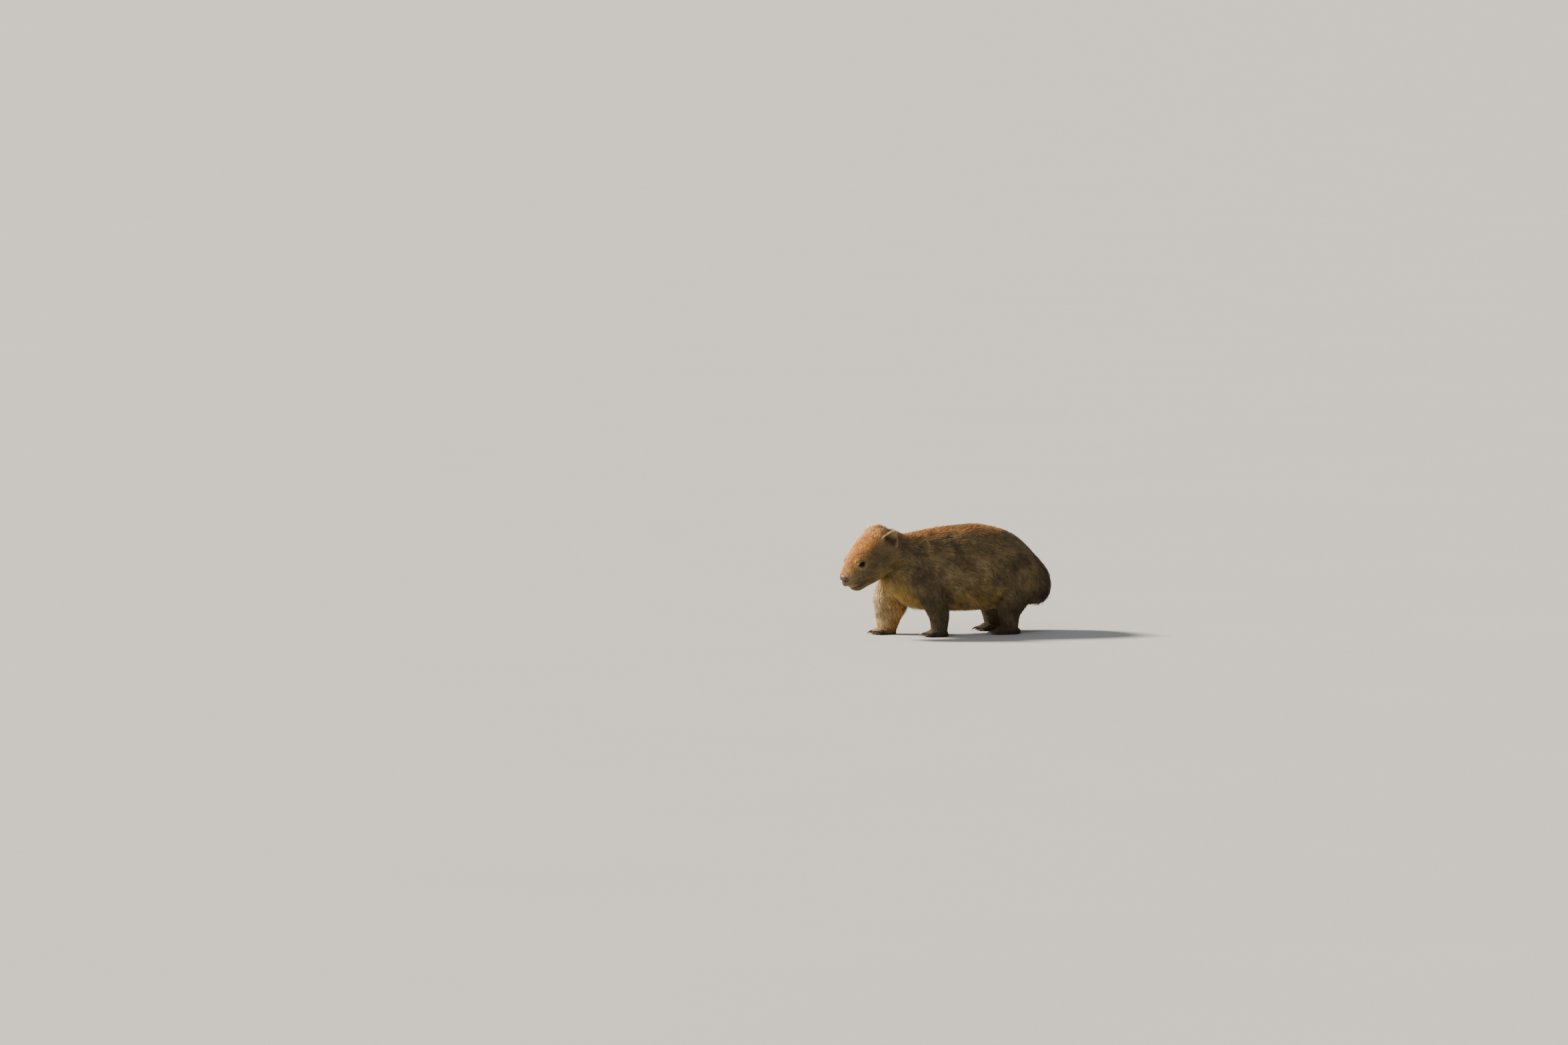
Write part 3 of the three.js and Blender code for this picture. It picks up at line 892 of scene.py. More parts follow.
@dataclass(frozen=True)
class EyeFinish:
    """A dark glossy eye, with a brown iris between its pupil and its dark edge."""

    pupil: Tint = Tint(6, 5, 5)
    iris_dark: Tint = Tint(16, 9, 6)
    iris_light: Tint = Tint(36, 21, 12)
    edge: Tint = Tint(20, 15, 13)
    flecks: Grain = Grain(1500.0, 3.0)
    roughness: float = 0.06
    specular: float = 0.1
    coat: float = 0.04
    coat_roughness: float = 0.03

    def material(self) -> Material:
        """The finish as a material.

        Returns:
            The material.
        """
        material, g, surface = new_material("eye_dark")
        off = g.attribute("off_axis")
        fleck = self.flecks.on(g, g.place())[0]
        iris = g.mix(g.stretch(fleck, 0.3, 0.7), self.iris_dark.rgba(), self.iris_light.rgba())
        colour = g.mix(g.stretch(off, 0.20, 0.25), self.pupil.rgba(), iris)
        colour = g.mix(g.stretch(off, 0.56, 0.68), colour, self.edge.rgba())
        rough = g.scaled(fleck, self.roughness, self.roughness)
        g.feed(surface, Base_Color=colour, Roughness=rough, Specular_IOR_Level=self.specular)
        g.feed(surface, Coat_Weight=self.coat, Coat_Roughness=self.coat_roughness)
        return material


@dataclass(frozen=True)
class LidFinish:
    """The bare, dark, moist rim of a lid."""

    dark: Tint = Tint(15, 11, 9)
    light: Tint = Tint(34, 26, 20)
    grain: Grain = Grain(1200.0, 3.0, 0.4, 0.0004)
    roughness: float = 0.42
    roughness_span: float = 0.2
    specular: float = 0.16

    def material(self) -> Material:
        """The finish as a material.

        Returns:
            The material.
        """
        material, g, surface = new_material("lid_rim")
        value, normal = self.grain.on(g, g.place())
        rough = g.scaled(value, self.roughness_span, self.roughness)
        colour = g.mix(value, self.dark.rgba(), self.light.rgba())
        g.feed(surface, Base_Color=colour, Roughness=rough, Normal=normal)
        g.feed(surface, Specular_IOR_Level=self.specular)
        return material


@dataclass(frozen=True)
class FloorFinish:
    """A plain studio floor of one even grey."""

    first: Numbers = (0.298, 0.311, 0.332, 1.0)
    second: Numbers = (0.316, 0.327, 0.346, 1.0)
    patch_scale: float = 0.8
    roughness: float = 0.9

    def material(self) -> Material:
        """The finish as a material.

        Returns:
            The material.
        """
        material, g, surface = new_material("studio_floor")
        tone = g.noise(self.patch_scale, 3.0, g.place())
        g.feed(surface, Base_Color=g.mix(tone, self.first, self.second))
        g.feed(surface, Roughness=self.roughness)
        return material


# Meshes


def put(name: str, bm: BMesh, material: Material) -> bpy.types.Object:
    """Makes an object of a mesh that is finished and in the body's frame.

    Args:
        name: The piece's name.
        bm: Its mesh, which is freed.
        material: Its finish.

    Returns:
        The object.
    """
    mesh = bpy.data.meshes.new(name)
    bmesh.ops.translate(bm, verts=bm.verts, vec=(-MIDDLE_SHIFT, 0, 0))
    bm.to_mesh(mesh)
    bm.free()
    mesh.shade_smooth()
    mesh.materials.append(material)
    made = bpy.data.objects.new(name, mesh)
    bpy.context.scene.collection.objects.link(made)
    return made


def smooth(bm: BMesh) -> None:
    """Moves every vertex half way to the middle of its neighbours."""
    axes = {"use_axis_x": True, "use_axis_y": True, "use_axis_z": True}
    bmesh.ops.smooth_vert(bm, verts=bm.verts, factor=0.5, **axes)


def float_attribute(mesh: bpy.types.Mesh, name: str, values: Array) -> None:
    """Stores one number for each vertex."""
    store = mesh.attributes.new(name, "FLOAT", "POINT")
    store.data.foreach_set("value", np.ascontiguousarray(values, dtype=np.float32))


def add_ball(
    bm: BMesh,
    middle: Numbers,
    radii: Numbers,
    matrix: Matrix,
    fine: int = 3,
) -> list[bmesh.types.BMVert]:
    """Adds an egg to a mesh.

    Args:
        bm: The mesh.
        middle: Its middle in millimetres.
        radii: Its three radii in millimetres.
        matrix: The place of the frame that the middle is given in.
        fine: How often the ball is subdivided.

    Returns:
        The new vertices.
    """
    scale = Matrix.Diagonal((*[r * MM for r in radii], 1.0))
    place = matrix @ Matrix.Translation(Vector(middle) * MM) @ scale
    made = bmesh.ops.create_icosphere(bm, subdivisions=fine, radius=1.0, matrix=place)
    return made["verts"]


@dataclass(frozen=True)
class EarShape:
    """The cup of an ear, in the head's frame and in millimetres."""

    length: float = 63.0
    width: float = 26.0
    depth: float = 11.0
    taper: float = 0.46
    root: Point = (-95.0, 50.0, -6.0)
    tip: Point = (-139.0, 63.0, 25.0)
    opens_to: Point = (0.55, 0.8, 0.0)
    middle: float = 26.5
    skin_inset: float = 2.0
    hollow: float = 15.5

    def axes(self) -> tuple[Array, Array, Array]:
        """The left ear's directions.

        Returns:
            Along the ear, out of its opening and across it.
        """
        along = unit(np.subtract(self.tip, self.root))
        facing = np.array(self.opens_to)
        facing = unit(facing - along * facing.dot(along))
        return along, facing, np.cross(along, facing)

    def place(self, local: Array, inset: float, forwards: float, side: float) -> Array:
        """Points of a ball of radius 1, its y along the ear, set on the ear.

        Args:
            local: Points of the ball.
            inset: How far the shape lies inside the ear's outside.
            forwards: How far it is moved out of the opening.
            side: 1 on the left, -1 on the right.

        Returns:
            Points in the head's frame, in millimetres.
        """
        along, facing, across = self.axes()
        width = self.width * (1 - self.taper * local[:, 1]) - inset
        depth = self.depth - inset * 0.8
        out = (
            np.array(self.root)
            + along * (self.length * 0.42 + local[:, 1] * (self.length / 2 - inset))[:, None]
            + across * (local[:, 0] * width)[:, None]
            + facing * (local[:, 2] * depth + forwards)[:, None]
        )
        out[:, 1] *= side
        return out

    def zones(self, local: Array, normals: Array) -> tuple[Array, Array]:
        """How much each point lies in the hollow of either ear, and how much on its edge.

        Args:
            local: Points in the head's frame, in millimetres.
            normals: Their normals in the same frame.

        Returns:
            Two masks.
        """
        along, facing, across = self.axes()
        hollow, edge = np.zeros(len(local)), np.zeros(len(local))
        for side in SIDES:
            offset = local * [1, side, 1] - np.array(self.root)
            u, v = offset @ along, offset @ across
            share = np.clip((u - self.middle) / (self.length / 2), -1, 1)
            out = np.hypot(share, v / (self.width * (1 - self.taper * share)))
            open_to = smoothstep(-0.25, 0.15, normals @ (facing * [1, side, 1]))
            hollow = np.maximum(hollow, smoothstep(0.94, 0.72, out) * open_to)
            edge = np.maximum(edge, smoothstep(0.8, 0.95, out) * smoothstep(0, 18, u))
        return hollow, edge

    def cup(self, bm: BMesh, side: float) -> None:
        """Adds a closed, hollowed ear to a mesh.

        Args:
            bm: The mesh that takes it.
            side: 1 on the left, -1 on the right.
        """
        ball = bmesh.ops.create_uvsphere(bm, u_segments=40, v_segments=32, radius=1.0)["verts"]
        local = np.array([v.co for v in ball])[:, [0, 2, 1]]
        front = np.clip(local[:, 2], 0, 1)
        rim = np.clip(1 - np.hypot(local[:, 0], local[:, 1]) ** 2, 0, 1)
        outer = self.place(local, self.skin_inset, 0.0, side)
        wall = np.clip(18.8 * front - 2.7, 0, None)
        dent = np.minimum(self.hollow * smoothstep(0.03, 0.55, rim), wall) * (front > 0.02)
        outer -= self.axes()[1] * np.array([1, side, 1]) * dent[:, None]
        write_from_head(ball, outer)


@dataclass(frozen=True)
class EyeShape:
    """The eyeball and the almond between its lids, in the head's frame and in millimetres."""

    middle: Point = (0.5, 29.7, 6.5)
    radius: float = 12.0
    tilt: float = math.radians(-3)
    opening: Pair = (9.4, 6.3)
    point: float = 0.42

    def centre(self, side: float) -> Array:
        """The ball's middle, on the left for 1 and on the right for -1."""
        return np.array(self.middle) * [1, side, 1]

    def axes(self, side: float) -> tuple[Array, Array, Array]:
        """The eye's directions.

        Args:
            side: 1 on the left, -1 on the right.

        Returns:
            The eye's axis, the long way of its opening and the short way.
        """
        axis = unit(np.array([0.33, 0.94 * side, 0.10]))
        flat = unit(np.array([0.94, -0.33 * side, 0.0]))
        short = np.cross(flat, axis) * side
        long = math.cos(self.tilt) * flat - math.sin(self.tilt) * short
        return axis, long, np.cross(axis, long) * -1

    def spot(self, side: float, depth: float) -> Array:
        """A point on the eye's axis, at a depth under its front."""
        return self.centre(side) + self.axes(side)[0] * (self.radius - depth)

    def apart(self, local: Array, depth: float) -> Array:
        """How far points are from the nearer of both eyes' spots at a depth.

        Args:
            local: Points in the head's frame.
            depth: The spots' depth under the eyes' fronts.

        Returns:
            One distance a point.
        """
        return np.minimum(
            *(np.linalg.norm(local - self.spot(side, depth), axis=1) for side in SIDES)
        )

    def gap(self, long: Array, short: Array) -> Array:
        """How far out a point is, 1 on the edge of the almond between the lids.

        Args:
            long: Its place along the opening.
            short: Its place across the opening.

        Returns:
            One number a point.
        """
        share = long / self.opening[0]
        return np.hypot(share, short / self.opening[1] / (1 - self.point * np.clip(share**2, 0, 1)))

    def lid_height(self, long: Array, short: Array, high: Array) -> Array:
        """How high the skin lies on the eye's axis once it makes two lids.

        Args:
            long: Each point's place along the opening.
            short: Its place across it, upwards.
            high: Its height on the axis before.

        Returns:
            The heights.
        """
        flat = np.hypot(long, short)
        opening = np.hypot(long / self.opening[0], short / self.opening[1])
        almond = self.gap(long, short)
        ball = np.sqrt(np.clip((self.radius + 1.5) ** 2 - flat**2, 0, None))
        lid = ball + (0.6 + 0.7 * (short > 0)) * smoothstep(1.5, 1.05, opening)
        rise = lid - high
        raised, lowered = smoothstep(1.9, 1.15, opening), smoothstep(1.6, 1.08, almond)
        wanted = high + rise * np.where(rise > 0, raised, lowered)
        fold = bell(opening - 1.75, 0.25) * smoothstep(-3, 3, short)
        wanted -= 0.9 * fold * smoothstep(20, 12, flat)
        inside = smoothstep(1.04, 0.9, almond)
        return wanted * (1 - inside) + (self.radius - 6.5) * inside


EAR = EarShape()
EYE = EyeShape()

# The mouth's line in the head's frame: places forward, and its height at each.
MOUTH_LINE = ((-30, -5, 16, 34, 50, 66), (-62, -56, -52, -50.5, -49, -47))

# Eggs that fill out the face, by middle and radii: the bed of the nose, and on each side the
# front and the side of the upper lip and the brow.
NOSE_BED = ((50, 0, -9), (15.5, 24, 18.5))
FACE_EGGS = (
    ((51, 12.5, -31), (15.5, 16.5, 14)),
    ((38, 21, -27), (21, 14, 15)),
    ((-12, 27, 18), (24, 10, 7)),
)


@dataclass
class Skin:
    """The one skin of the animal, inside the coat by the coat's depth."""

    body: Body
    voxel: float = 3.4
    trunk_depth: float = 13.5
    leg_depth: float = 8.5
    head_depth: float = 3.6
    jaw_depth: float = 4.0
    tail_depth: float = 2.5
    paw_depth: float = 2.5
    sides: int = 56
    rings: int = 60
    smoothing: int = 6
    mouth_width: float = 1.7
    mouth_depth: float = 2.6
    cleft_width: float = 1.6
    cleft_depth: float = 2.4

    def forms(self) -> list[tuple[Region, Form, Matrix, float]]:
        """Every form of the body.

        Returns:
            Each form's region, the form, its place and its depth under the coat.
        """
        head = HEAD.matrix()
        rest = Matrix.Identity(4)
        legs = [(leg.region, leg.form(), rest, self.leg_depth) for leg in self.body.legs]
        return [
            (Region.TRUNK, self.body.trunk(), rest, self.trunk_depth),
            (Region.HEAD, self.body.head(), head, self.head_depth),
            (Region.JAW, self.body.jaw(), head, self.jaw_depth),
            (Region.TAIL, self.body.tail(), rest, self.tail_depth),
            *legs,
        ]

    def rough(self) -> BMesh:
        """All forms as overlapping closed bodies.

        Returns:
            One mesh that holds them all.
        """
        bm = bmesh.new()
        for _, form, matrix, depth in self.forms():
            first = len(bm.verts)
            form.loft(bm, self.sides, self.rings, -depth * MM)
            bm.verts.ensure_lookup_table()
            bmesh.ops.transform(bm, matrix=matrix, verts=bm.verts[first:])
        head = HEAD.matrix()
        add_ball(bm, *NOSE_BED, head, 4)
        for side in SIDES:
            for (x, y, z), radii in FACE_EGGS:
                add_ball(bm, (x, side * y, z), radii, head)
        for leg in self.body.legs:
            self.paw(bm, leg)
        bmesh.ops.recalc_face_normals(bm, faces=bm.faces)
        return bm

    def paw(self, bm: BMesh, leg: Leg) -> None:
        """Adds a foot: its pad, its toes and the ridges behind them.

        Args:
            bm: The mesh that takes it.
            leg: The foot's leg.
        """
        place = leg.matrix()
        radii = tuple(r - self.paw_depth for r in (*leg.size, 21))
        add_ball(bm, (3, 0, 9), radii, place, 4)
        for index in range(leg.toes):
            x, y = leg.toe(index)
            add_ball(bm, (x, y, 7.5), (13.5, 6.4, 7.4), place)
            add_ball(bm, (x * 0.55, y * 0.8, 8), (17, 7.5, 11), place)

    def remeshed(self, bm: BMesh) -> BMesh:
        """Fuses overlapping bodies into one even surface.

        Args:
            bm: The bodies, which are freed.

        Returns:
            A new mesh.
        """
        mesh = bpy.data.meshes.new("rough")
        bm.to_mesh(mesh)
        bm.free()
        rough = bpy.data.objects.new("rough", mesh)
        bpy.context.scene.collection.objects.link(rough)
        fuse = rough.modifiers.new("fuse", "REMESH")
        fuse.mode = "VOXEL"
        fuse.voxel_size = self.voxel * MM
        fused = bpy.data.meshes.new_from_object(
            rough.evaluated_get(bpy.context.evaluated_depsgraph_get())
        )
        bpy.data.objects.remove(rough)
        made = bmesh.new()
        made.from_mesh(fused)
        bpy.data.meshes.remove(fused)
        return made

    def refine(self, bm: BMesh) -> None:
        """Makes the mesh finer round the eyes, the nose and the mouth, in two steps.

        Args:
            bm: The skin.
        """
        spots = [(EYE.spot(side, 2.0), 19.0) for side in SIDES]
        spots.append((np.array([58.0, 0.0, -26.0]), 30.0))
        for narrower in (0.0, 5.0):
            local = read_in_head(bm)
            near = np.zeros(len(local), bool)
            for spot, radius in spots:
                near |= np.linalg.norm(local - spot, axis=1) < radius - narrower
            bm.verts.index_update()
            edges = [e for e in bm.edges if near[e.verts[0].index] and near[e.verts[1].index]]
            bmesh.ops.subdivide_edges(bm, edges=edges, cuts=1, use_grid_fill=True)

    def lids(self, bm: BMesh) -> None:
        """Lays the skin over each eye and opens it, so that it makes two lids.

        Args:
            bm: The skin.
        """
        local = read_in_head(bm)
        for side in SIDES:
            axis, long, short = EYE.axes(side)
            offset = local - EYE.centre(side)
            u, v, high = offset @ long, offset @ short, offset @ axis
            near = (high > -6) & (np.hypot(u, v) < 24) & (np.linalg.norm(offset, axis=1) < 30)
            shift = np.where(near, EYE.lid_height(u, v, high) - high, 0.0)
            local += axis * shift[:, None]
        write_from_head(bm.verts, local)

    def mouth(self, bm: BMesh) -> None:
        """Presses in the line of the mouth and the cleft under the nose.

        Args:
            bm: The skin.
        """
        local = read_in_head(bm)
        x, y, z = local.T
        near = (x > -22) & (x < 74) & (z > -66) & (z < -34)
        line = bell(z - np.interp(x, *MOUTH_LINE), self.mouth_width)
        depth = self.mouth_depth * line * smoothstep(-22, -8, x) * near
        inwards = unit(np.stack([-np.where(x > 52, x - 52, 0), -y, 0 * z], 1))
        local += inwards * depth[:, None]
        cleft = self.cleft_depth * bell(y, self.cleft_width) * smoothstep(54, 62, x)
        local[:, 0] -= cleft * smoothstep(-49, -45, z) * smoothstep(-18, -24, z)
        write_from_head(bm.verts, local)

    def build(self) -> BMesh:
        """The whole skin.

        Returns:
            One mesh of triangles, with closed ears set into it.
        """
        bm = self.remeshed(self.rough())
        for _ in range(self.smoothing):
            smooth(bm)
        self.refine(bm)
        self.lids(bm)
        self.mouth(bm)
        for side in SIDES:
            EAR.cup(bm, side)
        for vert in bm.verts:
            vert.co.z = max(vert.co.z, 0.0)
        bmesh.ops.triangulate(bm, faces=bm.faces)
        bmesh.ops.recalc_face_normals(bm, faces=bm.faces)
        return bm


# The pelt's fields


@dataclass
class Fields:
    """What the coat needs to know at each vertex of the skin."""

    region: Array
    flow: Array
    length: Array
    lift: Array
    width: Array
    density: Array
    sag: Array
    masks: dict[str, Array]

    def at(self, corners: Array, weights: Array) -> "Fields":
        """The fields at points inside triangles.

        Args:
            corners: Three vertex numbers a row.
            weights: Their shares.

        Returns:
            The fields, with one row a point.
        """
        names = ("flow", "length", "lift", "width", "density", "sag")
        blended = {name: blend(getattr(self, name), corners, weights) for name in names}
        masks = {name: blend(mask, corners, weights) for name, mask in self.masks.items()}
        return Fields(region=self.region[corners[:, 0]], masks=masks, **blended)


def blend(values: Array, corners: Array, weights: Array) -> Array:
    """The weighted sum of the values at each row of corners."""
    return np.einsum("ij,ij...->i...", weights, values[corners])


def wave_noise(points: Array, size: float, seed: int, waves: int = 10) -> Array:
    """A smooth random number from about -1 to 1 at each point.

    Args:
        points: Places in metres.
        size: The size of its patches in metres.
        seed: Its seed.
        waves: How many waves it sums.

    Returns:
        One number a point.
    """
    rng = np.random.default_rng(seed)
    out = np.zeros(len(points))
    for _ in range(waves):
        direction = unit(rng.normal(size=3)) / size * rng.uniform(0.6, 1.5)
        out += np.sin(points @ direction * 3.2 + rng.uniform(0, TAU))
    return out / math.sqrt(waves)


@dataclass(frozen=True)
class Hair:
    """What a zone adds to the hair: length, lift and width in millimetres, and its density."""

    length: float = 0.0
    lift: float = 0.0
    width: float = 0.0
    density: float = 0.0

    def row(self) -> Array:
        """The four numbers in order."""
        return np.array([self.length, self.lift, self.width, self.density])


HAIR = {
    "trunk": Hair(32, 12.5, 1.55, 14.5),
    "tail": Hair(-22, -11, 0, 8),
    "head": Hair(18.5, 5.6, 1.35, 20),
    "face": Hair(-8, -2.6, -0.4, 34),
    "muzzle": Hair(-4.3, -1.1, -0.1, 26),
    "lip": Hair(-2, -0.5, 0, 25),
    "leg": Hair(28, 9, 1.5, 20),
    "shin": Hair(-11, -3, -0.3, 8),
    "paw": Hair(7.5, 1.9, 1.1, 36),
    "ear": Hair(9, 2, 0.95, 46),
    "chest": Hair(length=13),
    "belly": Hair(length=4),
    "groin": Hair(length=-10),
    "eyelids": Hair(-5, -1.5, -0.2, 26),
    "lid_edge": Hair(-1.2, -0.2, 0, 34),
    "ear_hollow": Hair(length=-4),
}
SAG = {"sagging_belly": 8.0, "chest": 12.0}

# How strongly each zone takes a marking, with soft edges and with sharp ones. Some marks are
# painted light: warm orange and pale for sunlit rims and edges, dark for shade on the rump, below
# the crown and in the ear hollows.
BROAD_MARKS = {
    # Painted sunlight: warm orange on the top of the back, the far foreleg and the crown, and tan
    # on the far foreleg.
    "rust": {"back": 0.55, "far_leg": 0.8, "crown": 0.95},
    "tan": {"tan_face": 1.0, "tan_flank": 0.46, "far_leg": 0.35},
    "ochre": {"golden_belly": 0.6, "golden_chest": 0.9, "flank": 0.05, "throat": 0.45},
    # The rump's and the lower head's shares of this dark are painted shade.
    "dusk": {
        "dark_leg": 1.0,
        "paw": 1.0,
        "rump": 0.8,
        "beside_back": 0.4,
        "shoulder": 0.18,
        "behind_eye": 0.55,
        "shaded_below_crown": 0.3,
    },
    # Painted sunlight on the far foreleg's front, and a pale painted highlight on the back of the
    # crown.
    "pale": {"far_leg_front": 0.9, "sunlit_crown_back": 0.3},
}
FINE_MARKS = {
    # Painted backlight: warm orange on the ear rims.
    "rust": {"ear_rim": 0.4},
    "tan": {"ear_back": 0.6},
    "ochre": {},
    # The ear hollows' share of this dark is painted shade.
    "dusk": {"lips": 0.7, "snout": 0.3, "ear_hollow": 1.3, "lids": 0.6},
    # Painted backlight on the ear rims; the pale beside the nose and under the eyes is the fur's
    # own.
    "pale": {"ear_rim": 0.6, "nose_sides": 0.25, "under_eye": 0.3},
}


@dataclass
class Zones:
    """How much each vertex of the skin belongs to each zone of the animal."""

    points: Array
    normals: Array
    region: Array
    local: Array = field(init=False)
    patch: Array = field(init=False)
    share: dict[str, Array] = field(init=False)

    def __post_init__(self) -> None:
        """Works out every zone."""
        self.local = in_head(self.points)
        self.patch = wave_noise(self.points, 0.09, 3)
        self.share = {**self.trunk(), **self.legs(), **self.head(), **self.ears()}

    def __getitem__(self, name: str) -> Array:
        """A zone's share at each vertex, as a column."""
        return self.share[name][:, None]

    def is_in(self, *which: Region) -> Array:
        """1 in the named regions and 0 elsewhere."""
        return np.isin(self.region, [r.value for r in which]).astype(float)

    def total(self, strengths: dict[str, float]) -> Array:
        """The sum of some zones, each times its strength.

        Args:
            strengths: The strengths by the zones' names.

        Returns:
            The sum at each point.
        """
        out = np.zeros(len(self.points))
        for name, strength in strengths.items():
            out += strength * self.share[name]
        return out

    def trunk(self) -> dict[str, Array]:
        """The zones of neck, torso, rump and tail by name.

        Returns:
            Their shares at each point.
        """
        x, _, z = (self.points / MM).T
        up = self.normals[:, 2]
        trunk = self.is_in(Region.TRUNK, Region.TAIL)
        belly = trunk * smoothstep(0.1, 0.75, -up)
        chest = trunk * smoothstep(-70, -140, x) * smoothstep(200, 130, z)
        flank = trunk * smoothstep(200, 120, z) * smoothstep(300, 200, x)
        top = smoothstep(0.7, 0.97, up)
        return {
            "trunk": trunk,
            "tail": self.is_in(Region.TAIL),
            "belly": belly,
            "groin": belly * smoothstep(180, 260, x),
            "sagging_belly": belly * smoothstep(260, 160, x),
            "chest": trunk * smoothstep(-60, -150, x) * smoothstep(230, 150, z),
            "back": trunk * top * smoothstep(260, 60, x),
            "flank": flank,
            "tan_flank": flank * (1 + 0.7 * self.patch),
            "golden_belly": trunk * smoothstep(0.1, 0.7, -up),
            "golden_chest": chest,
            # The rump's dark in the marks is painted shade, for the side turned away from the key
            # light.
            "rump": trunk * smoothstep(110, 230, x) * smoothstep(300, 200, z),
            "beside_back": trunk * smoothstep(0.3, 0.7, up) * (1 - 0.8 * top),
            "shoulder": trunk * smoothstep(-40, -120, x) * (1 - chest) * (1 - top),
        }

    def legs(self) -> dict[str, Array]:
        """The zones of legs and feet by name.

        Returns:
            Their shares at each point.
        """
        x, y, z = (self.points / MM).T
        leg = self.is_in(*LEG_REGIONS)
        # Painted sunlight: the far foreleg, mostly on its inner side, gets warm orange, tan and a
        # pale front edge, and almost none of the legs' dark.
        far = leg * smoothstep(20, 60, y) * smoothstep(-60, -120, x)
        far *= 1 - 0.85 * smoothstep(0.2, 0.85, self.normals[:, 1])
        dark = 0.55 + 0.25 * smoothstep(170, 80, z) - 0.2 * (x > 100)
        return {
            "leg": leg,
            "shin": leg * smoothstep(120, 35, z),
            "paw": self.is_in(Region.PAW),
            "far_leg": far,
            "far_leg_front": far * smoothstep(-0.2, 0.6, -self.normals[:, 0]),
            "dark_leg": leg * dark * (1 - 0.98 * far),
        }

    def head(self) -> dict[str, Array]:
        """The zones of head and jaw by name.

        Returns:
            Their shares at each point.
        """
        ahead, _, up = self.local.T
        head = self.is_in(Region.HEAD, Region.JAW)
        crown = head * smoothstep(5, 24, up + 0.25 * ahead + 3 * self.patch)
        tan = smoothstep(-125, -60, ahead) * (0.34 + 0.2 * self.patch)
        eye, lids = EYE.apart(self.local, 2.5), EYE.apart(self.local, 1.5)
        mouth = bell(up - np.interp(ahead, *MOUTH_LINE), 4)
        return {
            "head": head,
            "face": head * smoothstep(-110, -50, ahead),
            "muzzle": head * smoothstep(0, 40, ahead),
            "lip": head * smoothstep(34, 50, ahead) * smoothstep(-14, -26, up),
            "eyelids": head * smoothstep(27, 13, eye),
            "lid_edge": head * smoothstep(17, 12, eye),
            # The crown takes painted sunlight, the back of the crown a pale painted highlight and
            # the head below the crown painted shade.
            "crown": crown,
            "sunlit_crown_back": crown * smoothstep(-50, -100, ahead),
            "shaded_below_crown": head * (1 - crown),
            "tan_face": head * tan * (1 - 0.7 * crown),
            "throat": head * smoothstep(-40, -70, up),
            "behind_eye": head * bell(np.hypot(ahead + 34, up - 2), 22),
            "lids": head * smoothstep(12.5, 9.0, lids),
            "under_eye": head * bell(lids - 13.5, 2.6),
            "lips": head * mouth * smoothstep(-20, 0, ahead),
            "snout": head * smoothstep(30, 58, ahead) * smoothstep(0, -14, up),
            "nose_sides": head * smoothstep(40, 60, ahead),
        }

    def ears(self) -> dict[str, Array]:
        """The zones of the ears by name.

        Returns:
            Their shares at each point.
        """
        ear = self.is_in(Region.EAR_LEFT, Region.EAR_RIGHT)
        hollow, rim = EAR.zones(self.local, self.normals @ head_turn())
        return {
            "ear": ear,
            "ear_hollow": ear * hollow,
            "ear_rim": ear * rim,
            "ear_back": ear * (1 - hollow),
        }


